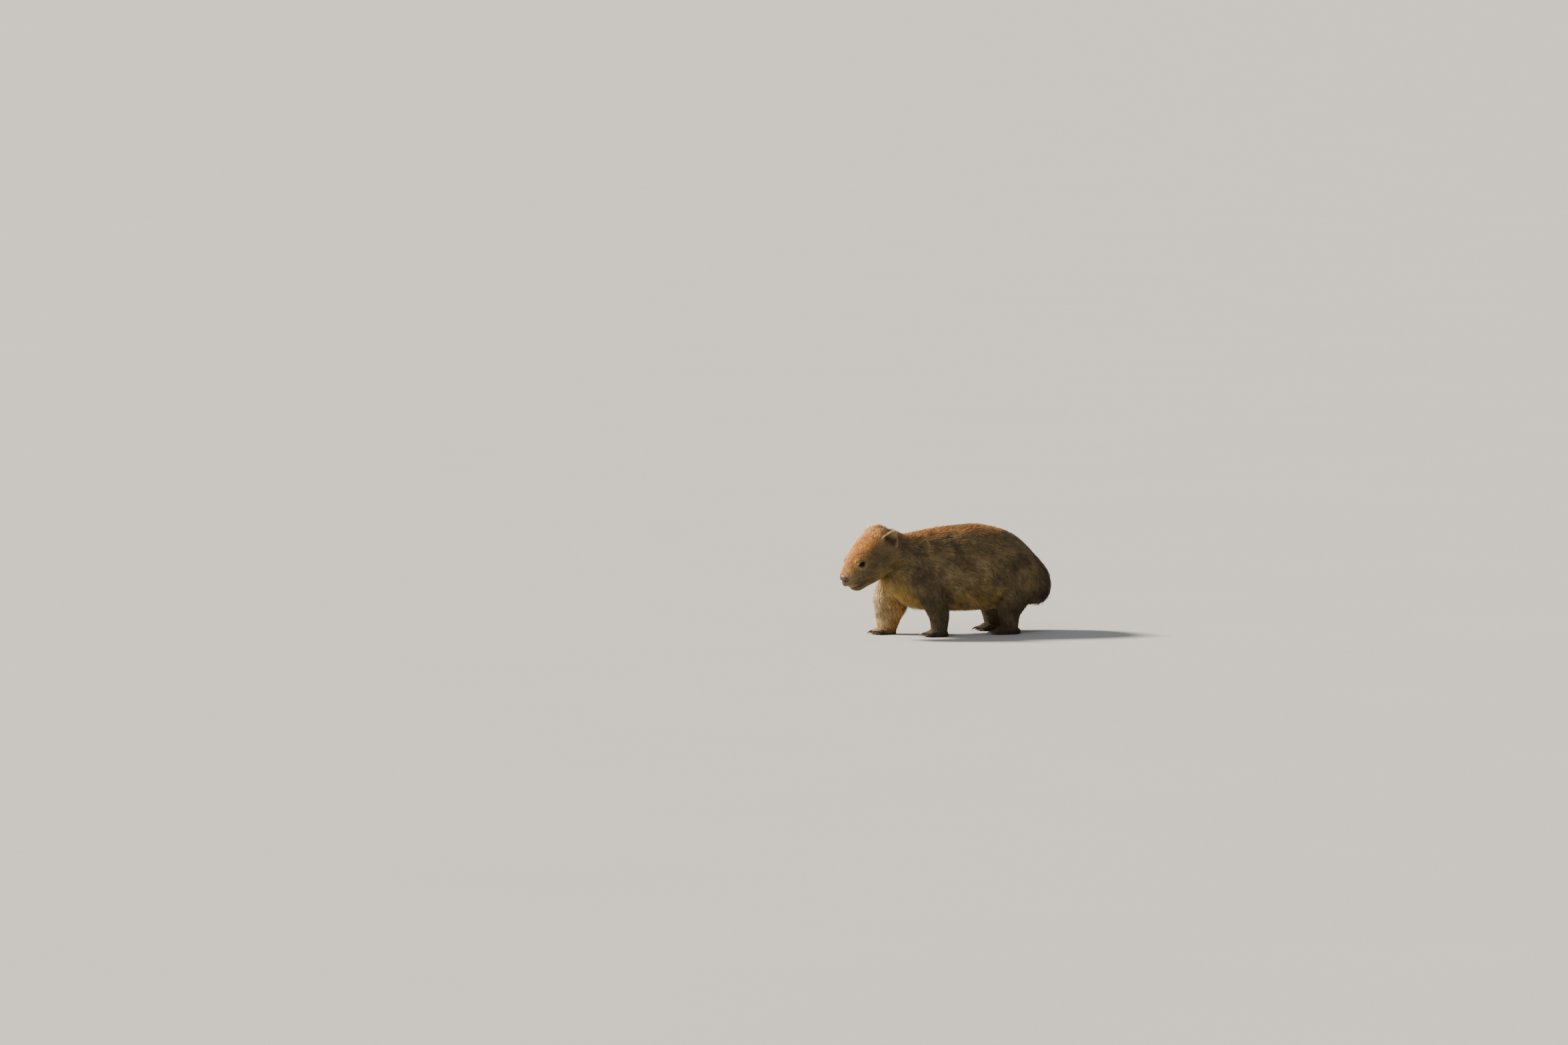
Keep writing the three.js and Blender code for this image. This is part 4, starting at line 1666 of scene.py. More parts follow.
@dataclass
class PeltMap:
    """Which region each point of the skin belongs to, and what grows there."""

    skin: Skin
    hair_rounds: int = 36
    broad_rounds: int = 44
    fine_rounds: int = 5
    outwards: float = 1.3

    def regions(self, points: Array) -> Array:
        """The region of each point, by the nearest of the forms.

        Args:
            points: Places in metres, before the shift to the middle.

        Returns:
            Region numbers.
        """
        samples, labels = [], []
        around = np.linspace(0, TAU, 48, endpoint=False)
        t, angle = (a.ravel() for a in np.meshgrid(np.linspace(0.02, 0.98, 60), around))
        for region, form, matrix, depth in self.skin.forms():
            samples.append(moved(form.points(t, angle, -depth * MM), matrix))
            labels += [region.value] * len(t)
        ball = bmesh.new()
        bmesh.ops.create_uvsphere(ball, u_segments=24, v_segments=16, radius=1.0)
        local = np.array([v.co for v in ball.verts])
        ball.free()
        for side, region in zip(SIDES, (Region.EAR_LEFT, Region.EAR_RIGHT)):
            for inset, forwards in ((2, 0), (8, 3)):
                made = EAR.place(local[local[:, 1] > -0.72], inset, forwards, side)
                samples.append(moved(made * MM, HEAD.matrix()))
                labels += [region.value] * len(made)
        for leg in self.skin.body.legs:
            made = local * np.array([leg.size[0] + 14, leg.size[1], 20]) * MM
            made = made[made[:, 2] > -0.008] + np.array([-10 * MM, 0, 7 * MM])
            samples.append(moved(made, leg.matrix()))
            labels += [Region.PAW.value] * len(made)
        return np.array(labels)[nearest(points, np.vstack(samples))]

    def fields(self, points: Array, normals: Array, edges: Array) -> Fields:
        """What grows at each vertex of the skin.

        Args:
            points: The vertices, before the shift to the middle.
            normals: Their normals.
            edges: Pairs of vertex numbers.

        Returns:
            The fields, evened out over the skin.
        """
        zones = Zones(points, normals, self.regions(points))
        growth = sum(zones[name] * hair.row() for name, hair in HAIR.items())
        even = np.column_stack([self.lie(zones), growth, zones.total(SAG)])
        even = self.even(even, edges, self.hair_rounds)
        flow = even[:, :3]
        for side in SIDES:
            flow += self.away(zones, side, flow)
        return Fields(zones.region, flow, *even[:, 3:].T, self.masks(zones, edges))

    def lie(self, zones: Zones) -> Array:
        """The way the hair lies: back and down, and out along the ears.

        Args:
            zones: The skin's zones.

        Returns:
            A direction a vertex.
        """
        x, _, z = (zones.points / MM).T
        drop = 0.55 + 0.25 * smoothstep(60, 200, x) + 0.3 * smoothstep(160, 100, z)
        side = 1 - np.clip(zones.normals[:, 2], 0, 1) ** 2
        rear = smoothstep(270, 350, x)
        back_down = np.stack([1 - 0.55 * rear, 0 * x, -drop * side - rear], 1)
        high = smoothstep(150, 215, z)[:, None]
        down = np.array([0.18, 0, -1]) * (1 - high) + (back_down + [0, 0, -0.5]) * high
        heel = smoothstep(0.0, 0.7, zones.normals[:, 0])
        flow = zones["trunk"] * back_down + zones["chest"] * np.array([-0.25, 0, -0.9])
        flow += zones["leg"] * down
        flow += zones["paw"] * np.stack([-0.9 * (1 - heel), 0 * x, -0.4 - 0.8 * heel], 1)
        flow += zones["tail"] * np.array([1.5, 0, -2.5])
        ahead, left, up = zones.local.T
        sideways = 0.25 * np.sign(left) * smoothstep(30, -60, ahead)
        fall = -0.45 * smoothstep(10, -40, up) * smoothstep(40, -60, ahead)
        flow += zones["head"] * (np.stack([-1 + 0 * x, sideways, fall], 1) @ head_turn().T)
        for sign, region in zip(SIDES, (Region.EAR_LEFT, Region.EAR_RIGHT)):
            along = EAR.axes()[0] * np.array([1, sign, 1])
            flow += zones.is_in(region)[:, None] * (along @ head_turn().T)
        return flow

    def away(self, zones: Zones, side: float, flow: Array) -> Array:
        """How the hair near an eye is turned, so that it doesn't lie over the opening.

        Args:
            zones: The skin's zones.
            side: 1 for the left eye, -1 for the right.
            flow: The lie of the hair.

        Returns:
            What is added to the lie.
        """
        apart = zones.local - EYE.spot(side, 8.0)
        share = zones.share["head"] * smoothstep(26, 13, np.linalg.norm(apart, axis=1))
        outwards = unit(apart) @ head_turn().T
        inwards = -np.einsum("ij,ij->i", flow, outwards)
        return (share * (self.outwards * np.maximum(inwards, 0) + 0.25))[:, None] * outwards

    def masks(self, zones: Zones, edges: Array) -> dict[str, Array]:
        """The markings' masks at each vertex.

        Args:
            zones: The skin's zones.
            edges: Pairs of vertex numbers.

        Returns:
            A mask for each marking.
        """
        broad = np.column_stack([zones.total(BROAD_MARKS[name]) for name in MASKS])
        fine = np.column_stack([zones.total(FINE_MARKS[name]) for name in MASKS])
        both = self.even(broad, edges, self.broad_rounds)
        both += self.even(fine, edges, self.fine_rounds)
        return {name: np.clip(both[:, i], 0, 1) for i, name in enumerate(MASKS)}

    def even(self, values: Array, edges: Array, rounds: int) -> Array:
        """Evens values out over the skin's neighbours.

        Args:
            values: One row a vertex.
            edges: Pairs of vertex numbers.
            rounds: How often.

        Returns:
            The evened values.
        """
        count = len(values)
        a, b = edges.T
        links = np.bincount(a, minlength=count) + np.bincount(b, minlength=count)
        links = np.maximum(links, 1)
        out = values.copy()
        for _ in range(rounds):
            for column in range(out.shape[1]):
                v = out[:, column]
                total = np.bincount(a, v[b], count) + np.bincount(b, v[a], count)
                out[:, column] = 0.4 * v + 0.6 * total / links
        return out


# The coat


class Layer(Enum):
    """The layers of the coat, by the places of a tuft's rings along its length."""

    LONG = (0.0, 0.38, 0.74)
    DENSE = (0.0, 0.55)
    SHORT = (0.0, 0.52)


@dataclass
class Tufts:
    """Tapered, bent, three-sided tufts, made as one mesh. Each array has a row for a tuft."""

    roots: Array
    normals: Array
    flow: Array
    length: Array
    lift: Array
    width: Array
    sag: Array
    pull: Array
    tone: Array
    chart: Array
    masks: dict[str, Array]
    stations: Numbers

    def part(self, rows: Array, stations: Numbers) -> "Tufts":
        """Some of the tufts.

        Args:
            rows: Their row numbers.
            stations: The places of their rings.

        Returns:
            Those tufts alone.
        """
        masks = {name: mask[rows] for name, mask in self.masks.items()}
        arrays = {name: v[rows] for name, v in vars(self).items() if isinstance(v, Array)}
        return Tufts(masks=masks, stations=stations, **arrays)

    def mesh(self) -> tuple[Array, Array, Array]:
        """The tufts' vertices and triangles.

        Returns:
            Vertices by tuft, triangles, and each vertex's share of its tuft's length.
        """
        count = len(self.roots)
        normal = unit(self.normals)
        ahead = unit(self.flow - normal * np.einsum("ij,ij->i", self.flow, normal)[:, None])
        across = np.cross(normal, ahead)
        run = np.sqrt(np.maximum(self.length**2 - self.lift**2, (0.5 * self.length) ** 2))
        sink = 0.16 * MM + 0.033 * self.length
        rings = len(self.stations)
        verts = np.empty((count, rings * 3 + 1, 3))
        shares = np.empty(rings * 3 + 1)
        for i, s in enumerate((*self.stations, 1.0)):
            rise = 1 - (1 - s) ** 1.9
            middle = (
                self.roots
                + ahead * (run * s)[:, None]
                + normal * (self.lift * rise - sink - self.length**2 * s * s / 0.32)[:, None]
                + self.pull * s**1.6
            )
            middle[:, 2] -= self.sag * s * s
            if i == rings:
                verts[:, -1] = middle
                shares[-1] = 1.0
                break
            full = self.width * (0.75 + 0.5 * s - 0.75 * s * s - 0.3 * s**4) * 0.5
            verts[:, 3 * i] = middle + across * full[:, None]
            verts[:, 3 * i + 1] = middle - across * full[:, None]
            verts[:, 3 * i + 2] = middle + normal * (full * 0.8)[:, None]
            shares[3 * i : 3 * i + 3] = s
        triangles = self.pattern()[None] + (np.arange(count) * (rings * 3 + 1))[:, None, None]
        return verts, triangles.reshape(-1, 3), shares

    def pattern(self) -> Array:
        """The triangles of one tuft: its closed root, its sides and its point.

        Returns:
            Rows of three vertex numbers.
        """
        faces = [(0, 1, 2)]
        turns = ((0, 2), (2, 1), (1, 0))
        last = 3 * (len(self.stations) - 1)
        for a in range(0, last, 3):
            for j, k in turns:
                faces += [(a + j, a + k, a + 3 + k), (a + j, a + 3 + k, a + 3 + j)]
        faces += [(last + j, last + k, last + 3) for j, k in turns]
        return np.array(faces)


# Beds of whiskers in the head's frame: middle and number.
WHISKER_BEDS = ((50, 25, -25, 5), (43, 29, -30, 5), (35, 32, -36, 4))

# Each region's place on the coat's unwrap: corner, width and height.
CHART = {
    Region.TRUNK: (0.01, 0.01, 0.58, 0.97),
    Region.HEAD: (0.61, 0.01, 0.38, 0.34),
    Region.JAW: (0.61, 0.36, 0.24, 0.12),
    Region.TAIL: (0.87, 0.36, 0.06, 0.12),
    Region.EAR_LEFT: (0.61, 0.49, 0.18, 0.09),
    Region.EAR_RIGHT: (0.81, 0.49, 0.18, 0.09),
    Region.FORELEG_LEFT: (0.61, 0.59, 0.18, 0.17),
    Region.FORELEG_RIGHT: (0.81, 0.59, 0.18, 0.17),
    Region.HINDLEG_LEFT: (0.61, 0.77, 0.18, 0.12),
    Region.HINDLEG_RIGHT: (0.81, 0.77, 0.18, 0.12),
    Region.PAW: (0.61, 0.90, 0.38, 0.09),
}


def turn_share(across: Array, up: Array) -> Array:
    """A turn about an axis as a share of a full turn."""
    return np.arctan2(across, up) / TAU + 0.5


def share_of(value: Array, low: float, high: float) -> Array:
    """Where values lie from low to high, as a share."""
    return np.clip((value - low) / (high - low), 0, 1)


def cell_codes(place: Array, size: Array) -> Array:
    """A number for the cube of a grid that each point lies in.

    Args:
        place: The points.
        size: The size of the cubes at each point.

    Returns:
        One whole number a point.
    """
    keys = np.floor(place / size[:, None]).astype(np.int64)
    return (keys[:, 0] * 73856093) ^ (keys[:, 1] * 19349663) ^ (keys[:, 2] * 83492791)


@dataclass
class Coat:
    """All fur of the animal, in tufts that follow its lie."""

    body: Body
    finish: Material
    most: int = 190000
    tries: float = 2.6
    spacing: float = 0.0102
    long_from: float = 14.0
    guard_share: float = 0.1
    long_share: float = 0.2
    stray: float = 0.16
    swirl: float = 0.28
    clumping: float = 0.36
    patch: float = 0.003
    tail_top: Point = (348.0, 0.0, 202.0)
    tail_bare: Point = (8.0, 11.0, 12.0)

    def roots(self, points: Array, triangles: Array, density: Array) -> tuple[Array, Array]:
        """Picks the triangles and places that tufts grow from, evenly spread.

        Args:
            points: The skin's vertices.
            triangles: Its triangles.
            density: How many tufts grow on a square centimetre at each vertex.

        Returns:
            Triangle numbers and shares of their corners.
        """
        rng = np.random.default_rng(SEED)
        a, b, c = (points[triangles[:, i]] for i in range(3))
        area = np.linalg.norm(np.cross(b - a, c - a), axis=1) / 2 * 1e4
        dense = density[triangles].mean(1)
        wanted = area * dense * self.tries
        number = np.floor(wanted + rng.random(len(wanted))).astype(int)
        chosen = np.repeat(np.arange(len(triangles)), number)
        r1, r2 = np.sqrt(rng.random(len(chosen))), rng.random(len(chosen))
        weights = np.stack([1 - r1, r1 * (1 - r2), r1 * r2], 1)
        order = rng.permutation(len(chosen))
        chosen, weights = chosen[order], weights[order]
        place = blend(points, triangles[chosen], weights)
        cell = self.spacing / np.sqrt(dense[chosen])
        step = 2.0 ** (np.round(np.log2(cell) * 4) / 4)
        code = cell_codes(place, step) * 31 + np.round(step * 1e6).astype(np.int64)
        keep = rng.permutation(np.unique(code, return_index=True)[1])
        return chosen[keep], weights[keep]

    def chart(self, points: Array, region: Array) -> Array:
        """Each root's place on an unwrap of the skin's own shape.

        Args:
            points: The roots.
            region: Their region numbers.

        Returns:
            Two numbers from 0 to 1 a root.
        """
        out = np.zeros((len(points), 2))
        local = in_head(points) * MM
        for kind, (left, low, wide, high) in CHART.items():
            mine = region == kind.value
            u, v = self.unwrapped(kind, points[mine], local[mine])
            out[mine] = np.stack([left + u * wide, low + v * high], 1)
        return out

    def unwrapped(self, kind: Region, body: Array, head: Array) -> tuple[Array, Array]:
        """The unwrap of one region.

        Args:
            kind: The region.
            body: Its roots in the body's frame.
            head: Its roots in the head's frame.

        Returns:
            Two numbers from 0 to 1 for each root.
        """
        x, y, z = body.T
        ahead, left, up = head.T
        if kind in (Region.TRUNK, Region.TAIL):
            return share_of(x, -0.24, 0.37), turn_share(y, z - 0.19)
        if kind in (Region.HEAD, Region.JAW):
            return share_of(ahead, -0.17, 0.08), turn_share(left, up + 0.03)
        if kind in (Region.EAR_LEFT, Region.EAR_RIGHT):
            return share_of(up, -0.03, 0.06), turn_share(ahead + 0.12, np.abs(left) - 0.055)
        if kind is Region.PAW:
            quarter = (x > 0.05) * 2 + (y > 0)
            return (quarter + share_of(x % 0.5, 0.0, 0.5)) / 4, share_of(np.abs(y), 0.02, 0.13)
        leg = next(leg for leg in self.body.legs if leg.region is kind)
        centre = leg.form().centres[::-1]
        x, y = (v - np.interp(z, centre[:, 2], centre[:, i]) for i, v in enumerate((x, y)))
        return turn_share(x, y), share_of(z, 0, 0.26)

    def clumps(self, place: Array, size: Array, rng: np.random.Generator) -> tuple[Array, Array]:
        """The clump that each tuft leans into.

        Args:
            place: The middle of each tuft.
            size: The spacing of clumps there.
            rng: The random numbers.

        Returns:
            The vector from each tuft to its clump's middle, and a tone for its clump.
        """
        order = rng.permutation(len(place))
        _, first = np.unique(cell_codes(place[order], size[order]), return_index=True)
        centres = place[order][first]
        found = nearest(place, centres)
        return centres[found] - place, rng.random(len(centres))[found]

    def grow(self, place: Array, normal: Array, at: Fields) -> tuple[Tufts, Array]:
        """Gives every tuft its size, its lie, its clump and its tone.

        Args:
            place: The roots.
            normal: The skin's normals there.
            at: What grows there.

        Returns:
            The tufts, and the number of each one's layer.
        """
        rng = np.random.default_rng(SEED + 1)
        count = len(place)
        stray = rng.normal(size=(count, 3)) * self.stray
        turn = (self.swirl * wave_noise(place, 0.05, 5))[:, None]
        flow = unit(at.flow) + stray + np.cross(normal, unit(at.flow)) * turn
        vary = 1 + 0.28 * rng.normal(size=count).clip(-2, 2) * 0.7
        length = at.length * vary * MM
        lift = at.lift * (0.62 + 0.42 * rng.random(count)) * MM
        width = at.width * (0.8 + 0.4 * rng.random(count)) * MM
        tip = place + unit(flow) * length[:, None] * 0.8
        lean, clump_tone = self.clumps(tip, np.clip(at.length * 0.4, 4.0, 14.0) * MM, rng)
        lean -= normal * np.einsum("ij,ij->i", lean, normal)[:, None]
        tone = 0.75 * clump_tone**1.4 + 0.36 * rng.random(count) + 0.14 * wave_noise(place, 0.04, 9)
        guard = (at.length > self.long_from) & (rng.random(count) < self.guard_share)
        tone = np.where(guard, np.where(rng.random(count) < 0.5, 0.2, 1.15), tone)
        tufts = Tufts(
            roots=place,
            normals=normal,
            flow=flow,
            length=length * (1 + 0.18 * guard),
            lift=lift * (1 + 0.16 * guard),
            width=width * (1 - 0.4 * guard),
            sag=at.sag * MM,
            pull=lean * self.clumping,
            tone=tone,
            chart=self.chart(place, at.region),
            masks=at.masks,
            stations=Layer.LONG.value,
        )
        long_hair = at.length > self.long_from
        outer = long_hair & (guard | (rng.random(count) < self.long_share))
        layer = np.where(outer, 0, np.where(long_hair, 1, 2))
        return tufts, layer

    def build(self, points: Array, normals: Array, triangles: Array, fields: Fields) -> int:
        """Grows the coat over the skin and makes its pieces.

        Args:
            points: The skin's vertices, before the shift to the middle.
            normals: Their normals.
            triangles: The skin's triangles.
            fields: What grows at each vertex.

        Returns:
            The number of triangles.
        """
        chosen, weights = self.roots(points, triangles, fields.density)
        keep = self.allowed(blend(points, triangles[chosen], weights))
        corners, weights = triangles[chosen[keep]], weights[keep]
        place = blend(points, corners, weights)
        normal = unit(blend(normals, corners, weights))
        tufts, layers = self.grow(place, normal, fields.at(corners, weights))
        total = 0
        for number, layer in enumerate(Layer):
            rows = np.flatnonzero(layers == number)
            rows = rows[np.argsort(place[rows, 0])]
            each = self.most // (6 * len(layer.value) - 2)
            for piece, start in enumerate(range(0, len(rows), each)):
                part = tufts.part(rows[start : start + each], layer.value)
                total += self.piece(f"coat_{layer.name.lower()}_{piece + 1}", part)
        total += self.whiskers()
        LOG.info("coat: %d tufts, %d triangles", len(place), total)
        return total

    def whiskers(self) -> int:
        """Sets stiff, dark whiskers in the sides of the muzzle and above the eyes.

        Returns:
            The number of triangles.
        """
        rng = np.random.default_rng(SEED + 2)
        rows = []
        for side in SIDES:
            for x, y, z, number in WHISKER_BEDS:
                for k in range(number):
                    lie = (-0.5 + 0.5 * rng.random(), 1.0, -0.5 + 0.22 * k)
                    place = (x + rng.normal(), y - abs(k - 2), z + 3.4 * (k - 2))
                    rows.append((*place, *lie, side, 34))
            for k in range(3):
                rows.append((8 - 7 * k, 31, 19 + 1.5 * k, -0.4, 0.8, 0.5, side, 22))
        row = np.array(rows)
        count = len(row)
        place, lie = row[:, :3] * MM, unit(row[:, 3:6])
        place[:, 1] *= row[:, 6]
        lie[:, 1] *= row[:, 6]
        normal = unit(np.array([[0.0, 0.0, 1.0]]) - lie * lie[:, 2:3])
        length = row[:, 7] * (0.7 + 0.5 * rng.random(count)) * MM
        roots = moved(place, HEAD.matrix())
        tufts = Tufts(
            roots=roots,
            normals=normal @ head_turn().T,
            flow=lie @ head_turn().T,
            length=length,
            lift=0.1 * length,
            width=np.full(count, 0.55 * MM),
            sag=0.12 * length,
            pull=np.zeros((count, 3)),
            tone=np.full(count, 0.3),
            chart=self.chart(roots, np.full(count, Region.HEAD.value)),
            masks={name: np.full(count, 0.7 * (name == "dusk")) for name in MASKS},
            stations=(0.0, 0.3, 0.6, 0.85),
        )
        return self.piece("whiskers", tufts)

    def allowed(self, place: Array) -> Array:
        """Where fur may grow: not in a lid's opening, on the nose pad, the tail's top or a sole.

        Args:
            place: The roots.

        Returns:
            Whether each may stay.
        """
        local = in_head(place)
        ok = place[:, 2] > 3 * MM
        from_tail = np.abs(place / MM - self.tail_top)
        ok &= ~np.all(from_tail < self.tail_bare, axis=1)
        for side in SIDES:
            axis, long, short = EYE.axes(side)
            offset = local - EYE.centre(side)
            ok &= ~((EYE.gap(offset @ long, offset @ short) < 1.07) & (offset @ axis > 0))
        pad = np.linalg.norm((local - [63, 0, -10]) / [15, 18.5, 14], axis=1) < 1
        return ok & ~pad

    def piece(self, name: str, tufts: Tufts) -> int:
        """Makes one coat object.

        Args:
            name: Its name.
            tufts: Its tufts.

        Returns:
            Its number of triangles.
        """
        verts, triangles, shares = tufts.mesh()
        count, each = verts.shape[:2]
        flat = verts.reshape(-1, 3).copy()
        flat[:, 2] = np.maximum(flat[:, 2], 0.4 * MM)
        flat[:, 0] -= MIDDLE_SHIFT
        mesh = bpy.data.meshes.new(name)
        mesh.vertices.add(len(flat))
        mesh.vertices.foreach_set("co", flat.astype(np.float32).ravel())
        mesh.loops.add(triangles.size)
        mesh.loops.foreach_set("vertex_index", triangles.ravel().astype(np.int32))
        mesh.polygons.add(len(triangles))
        mesh.polygons.foreach_set("loop_start", np.arange(0, triangles.size, 3, dtype=np.int32))
        mesh.update(calc_edges=True)
        mesh.shade_smooth()
        float_attribute(mesh, "along", np.tile(shares, count))
        float_attribute(mesh, "tone", np.repeat(tufts.tone, each))
        for key, values in tufts.masks.items():
            float_attribute(mesh, key, np.repeat(values, each))
        across = np.tile([0.0, 1.0, 0.5], each)[:each]
        patch = np.stack([shares, across], 1) * self.patch
        coords = (tufts.chart[:, None] + patch[None]).reshape(-1, 2)[triangles.ravel()]
        layer = mesh.uv_layers.new(name="OFBake")
        layer.data.foreach_set("uv", coords.astype(np.float32).ravel())
        mesh.materials.append(self.finish)
        made = bpy.data.objects.new(name, mesh)
        bpy.context.scene.collection.objects.link(made)
        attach(made, "root")
        return len(triangles)


# Bare pieces


@dataclass(frozen=True)
class Eye:
    """One eyeball with the rim of its lids, on the left for 1 and on the right for -1."""

    side: float
    name: str
    bulge: float = 2.2
    bulge_from: float = 0.72
    rim_steps: int = 48
    rim_sides: int = 8
    rim_lift: float = 1.25
    rim_size: Pair = (0.6, 0.8)

    def build(self, finish: Material) -> bpy.types.Object:
        """Makes the eyeball, turned so that its pupil faces out.

        Args:
            finish: Its finish.

        Returns:
            The eyeball.
        """
        bm = bmesh.new()
        bmesh.ops.create_uvsphere(bm, u_segments=48, v_segments=32, radius=EYE.radius * MM)
        off = np.array([1 - v.co.normalized().z for v in bm.verts])
        for vert in bm.verts:
            out = vert.co.normalized()
            vert.co += out * (max(0.0, out.z - self.bulge_from) * self.bulge * MM)
        axis = EYE.axes(self.side)[0]
        turn = Vector((0, 0, 1)).rotation_difference(Vector(axis)).to_matrix().to_4x4()
        place = HEAD.matrix() @ Matrix.Translation(Vector(EYE.centre(self.side)) * MM) @ turn
        bmesh.ops.transform(bm, matrix=place, verts=bm.verts)
        made = put(self.name.replace("eye", "eyeball"), bm, finish)
        float_attribute(made.data, "off_axis", off * 2.2)
        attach(made, "root")
        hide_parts(self.name)
        return made

    def rim_ring(self, angle: float) -> Array:
        """One ring of the rim.

        Args:
            angle: Its place round the almond opening.

        Returns:
            Its points in the head's frame, in metres.
        """
        axis, long, short = EYE.axes(self.side)
        across = EYE.opening[1] * math.sin(angle) * (1 - EYE.point * math.cos(angle) ** 2)
        point = EYE.opening[0] * math.cos(angle) * long + across * short
        point = point + axis * math.sqrt((EYE.radius + self.rim_lift) ** 2 - point.dot(point))
        out = unit(math.cos(angle) * long + math.sin(angle) * short)
        turn = (np.arange(self.rim_sides) / self.rim_sides * TAU)[:, None]
        wide, high = self.rim_size
        ring = out * np.cos(turn) * wide + axis * np.sin(turn) * high
        return (EYE.centre(self.side) + point + ring) * MM

    def rim(self, finish: Material) -> bpy.types.Object:
        """Makes the bare rim of the lids, a slim ring round the almond opening.

        Args:
            finish: Its finish.

        Returns:
            The rim.
        """
        bm = bmesh.new()
        angles = (k / self.rim_steps * TAU for k in range(self.rim_steps))
        add_rings(bm, (self.rim_ring(angle) for angle in angles), closed=True)
        bmesh.ops.recalc_face_normals(bm, faces=bm.faces)
        bmesh.ops.transform(bm, matrix=HEAD.matrix(), verts=bm.verts)
        made = put(self.name + "_rim", bm, finish)
        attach(made, "root")
        return made


@dataclass(frozen=True)
class Nose:
    """The bare nose pad with its two nostrils, in the head's frame and in millimetres."""

    middle: Point = (54.5, 0.0, -10.0)
    radii: Point = (13.5, 19.0, 14.5)
    squareness: float = 2.5
    nostril: Pair = (10.2, -3.4)
    nostril_size: Pair = (6.0, 3.0)
    nostril_depth: float = 7.0
    rim_height: float = 0.9

    def egg(self, direction: Vector) -> Vector:
        """A point of the pad before it is carved.

        Args:
            direction: Its direction from the middle.

        Returns:
            The point.
        """
        x, y, z = direction
        power = self.squareness
        square = 1 / (abs(x) ** power + abs(y) ** power + abs(z) ** power) ** (1 / power)
        x, y, z = x * square, y * square, z * square
        narrow = 1 - 0.16 * max(0.0, -z) - 0.10 * max(0.0, z)
        return Vector((x * self.radii[0], y * self.radii[1] * narrow, z * self.radii[2]))

    def carved(self, point: Vector) -> float:
        """How far a point is pressed back, by the groove down the middle and the nostrils.

        Args:
            point: A point of the egg.

        Returns:
            The depth.
        """
        x, y, z = point
        depth = bell(y, 1.7) * (0.7 + 1.1 * (0.5 - 0.5 * math.tanh(z / 4))) if x > 0 else 0.0
        if x <= 2:
            return depth
        for side in SIDES:
            u, v = y * side - self.nostril[0], z - self.nostril[1]
            along, across = u * 0.86 - v * 0.5, u * 0.5 + v * 0.86
            across += 0.06 * along * along
            hole = math.hypot(along / self.nostril_size[0], across / self.nostril_size[1])
            depth += self.nostril_depth * max(0.0, 1 - hole**2.2) ** 0.7
            depth -= self.rim_height * bell(hole - 1.35, 0.3)
        return depth

    def build(self, finish: Material) -> bpy.types.Object:
        """Makes the pad: a wide egg, grooved down the middle, with comma-shaped nostrils.

        Args:
            finish: Its finish.

        Returns:
            The pad.
        """
        bm = bmesh.new()
        bmesh.ops.create_uvsphere(bm, u_segments=96, v_segments=64, radius=1.0)
        for vert in bm.verts:
            vert.co = self.egg(vert.co)
            vert.co.x -= self.carved(vert.co)
        smooth(bm)
        middle = Matrix.Translation(Vector(self.middle) * MM)
        place = HEAD.matrix() @ middle @ Matrix.Scale(MM, 4)
        bmesh.ops.transform(bm, matrix=place, verts=bm.verts)
        made = put("nose_pad", bm, finish)
        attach(made, "root")
        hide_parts("nose")
        return made


@dataclass(frozen=True)
class Claws:
    """The curved claws of one foot, in the foot's own frame and in millimetres."""

    leg: Leg
    rings: int = 13
    sides: int = 12
    half_width: float = 2.3
    upper: float = 3.3
    lower: float = 2.4
    lowest: float = 0.0002

    def ring(self, index: int, share: float) -> Array:
        """One ring of a claw.

        Args:
            index: The claw's toe.
            share: The ring's place along it, from 0 to 1.

        Returns:
            Its points, in metres.
        """
        front, out = self.leg.toe(index)
        a = np.array([front - 4, out, 9.0])
        b = np.array([front - 19, out * 1.06, 12.0])
        c = np.array([front - 28, out * 1.1, 1.2])
        point = (1 - share) ** 2 * a + 2 * share * (1 - share) * b + share * share * c
        ahead = unit(2 * (1 - share) * (b - a) + 2 * share * (c - b))
        across = unit(np.cross([0, 0, 1], ahead))
        full = (1 - share) ** 0.7 + 0.06
        turn = (np.arange(self.sides) / self.sides * TAU)[:, None]
        high = np.sin(turn) * np.where(np.sin(turn) > 0, self.upper, self.lower)
        wide = np.cos(turn) * self.half_width
        return (point + (across * wide + np.cross(ahead, across) * high) * full) * MM

    def build(self, finish: Material) -> bpy.types.Object:
        """Makes them as bent, tapered rods with a rounded ridge.

        Args:
            finish: Their finish.

        Returns:
            The claws as one object.
        """
        bm = bmesh.new()
        shares = [k / (self.rings - 1) for k in range(self.rings)]
        for index in range(self.leg.toes):
            add_rings(bm, (self.ring(index, share) for share in shares))
        bmesh.ops.recalc_face_normals(bm, faces=bm.faces)
        bmesh.ops.transform(bm, matrix=self.leg.matrix(), verts=bm.verts)
        for vert in bm.verts:
            vert.co.z = max(vert.co.z, self.lowest)
        name = self.leg.region.name.lower().replace("leg", "claws")
        made = put(name, bm, finish)
        along = np.tile(np.repeat(shares, self.sides), self.leg.toes)
        float_attribute(made.data, "along", along)
        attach(made, "root")
        return made


FLESH = (
    *("head", "lower_jaw", "ear_left", "ear_right", "neck", "torso", "rump", "tail"),
    *("foreleg_left", "forefoot_left", "foreleg_right", "forefoot_right"),
    *("hindleg_left", "hindfoot_left", "hindleg_right", "hindfoot_right"),
)


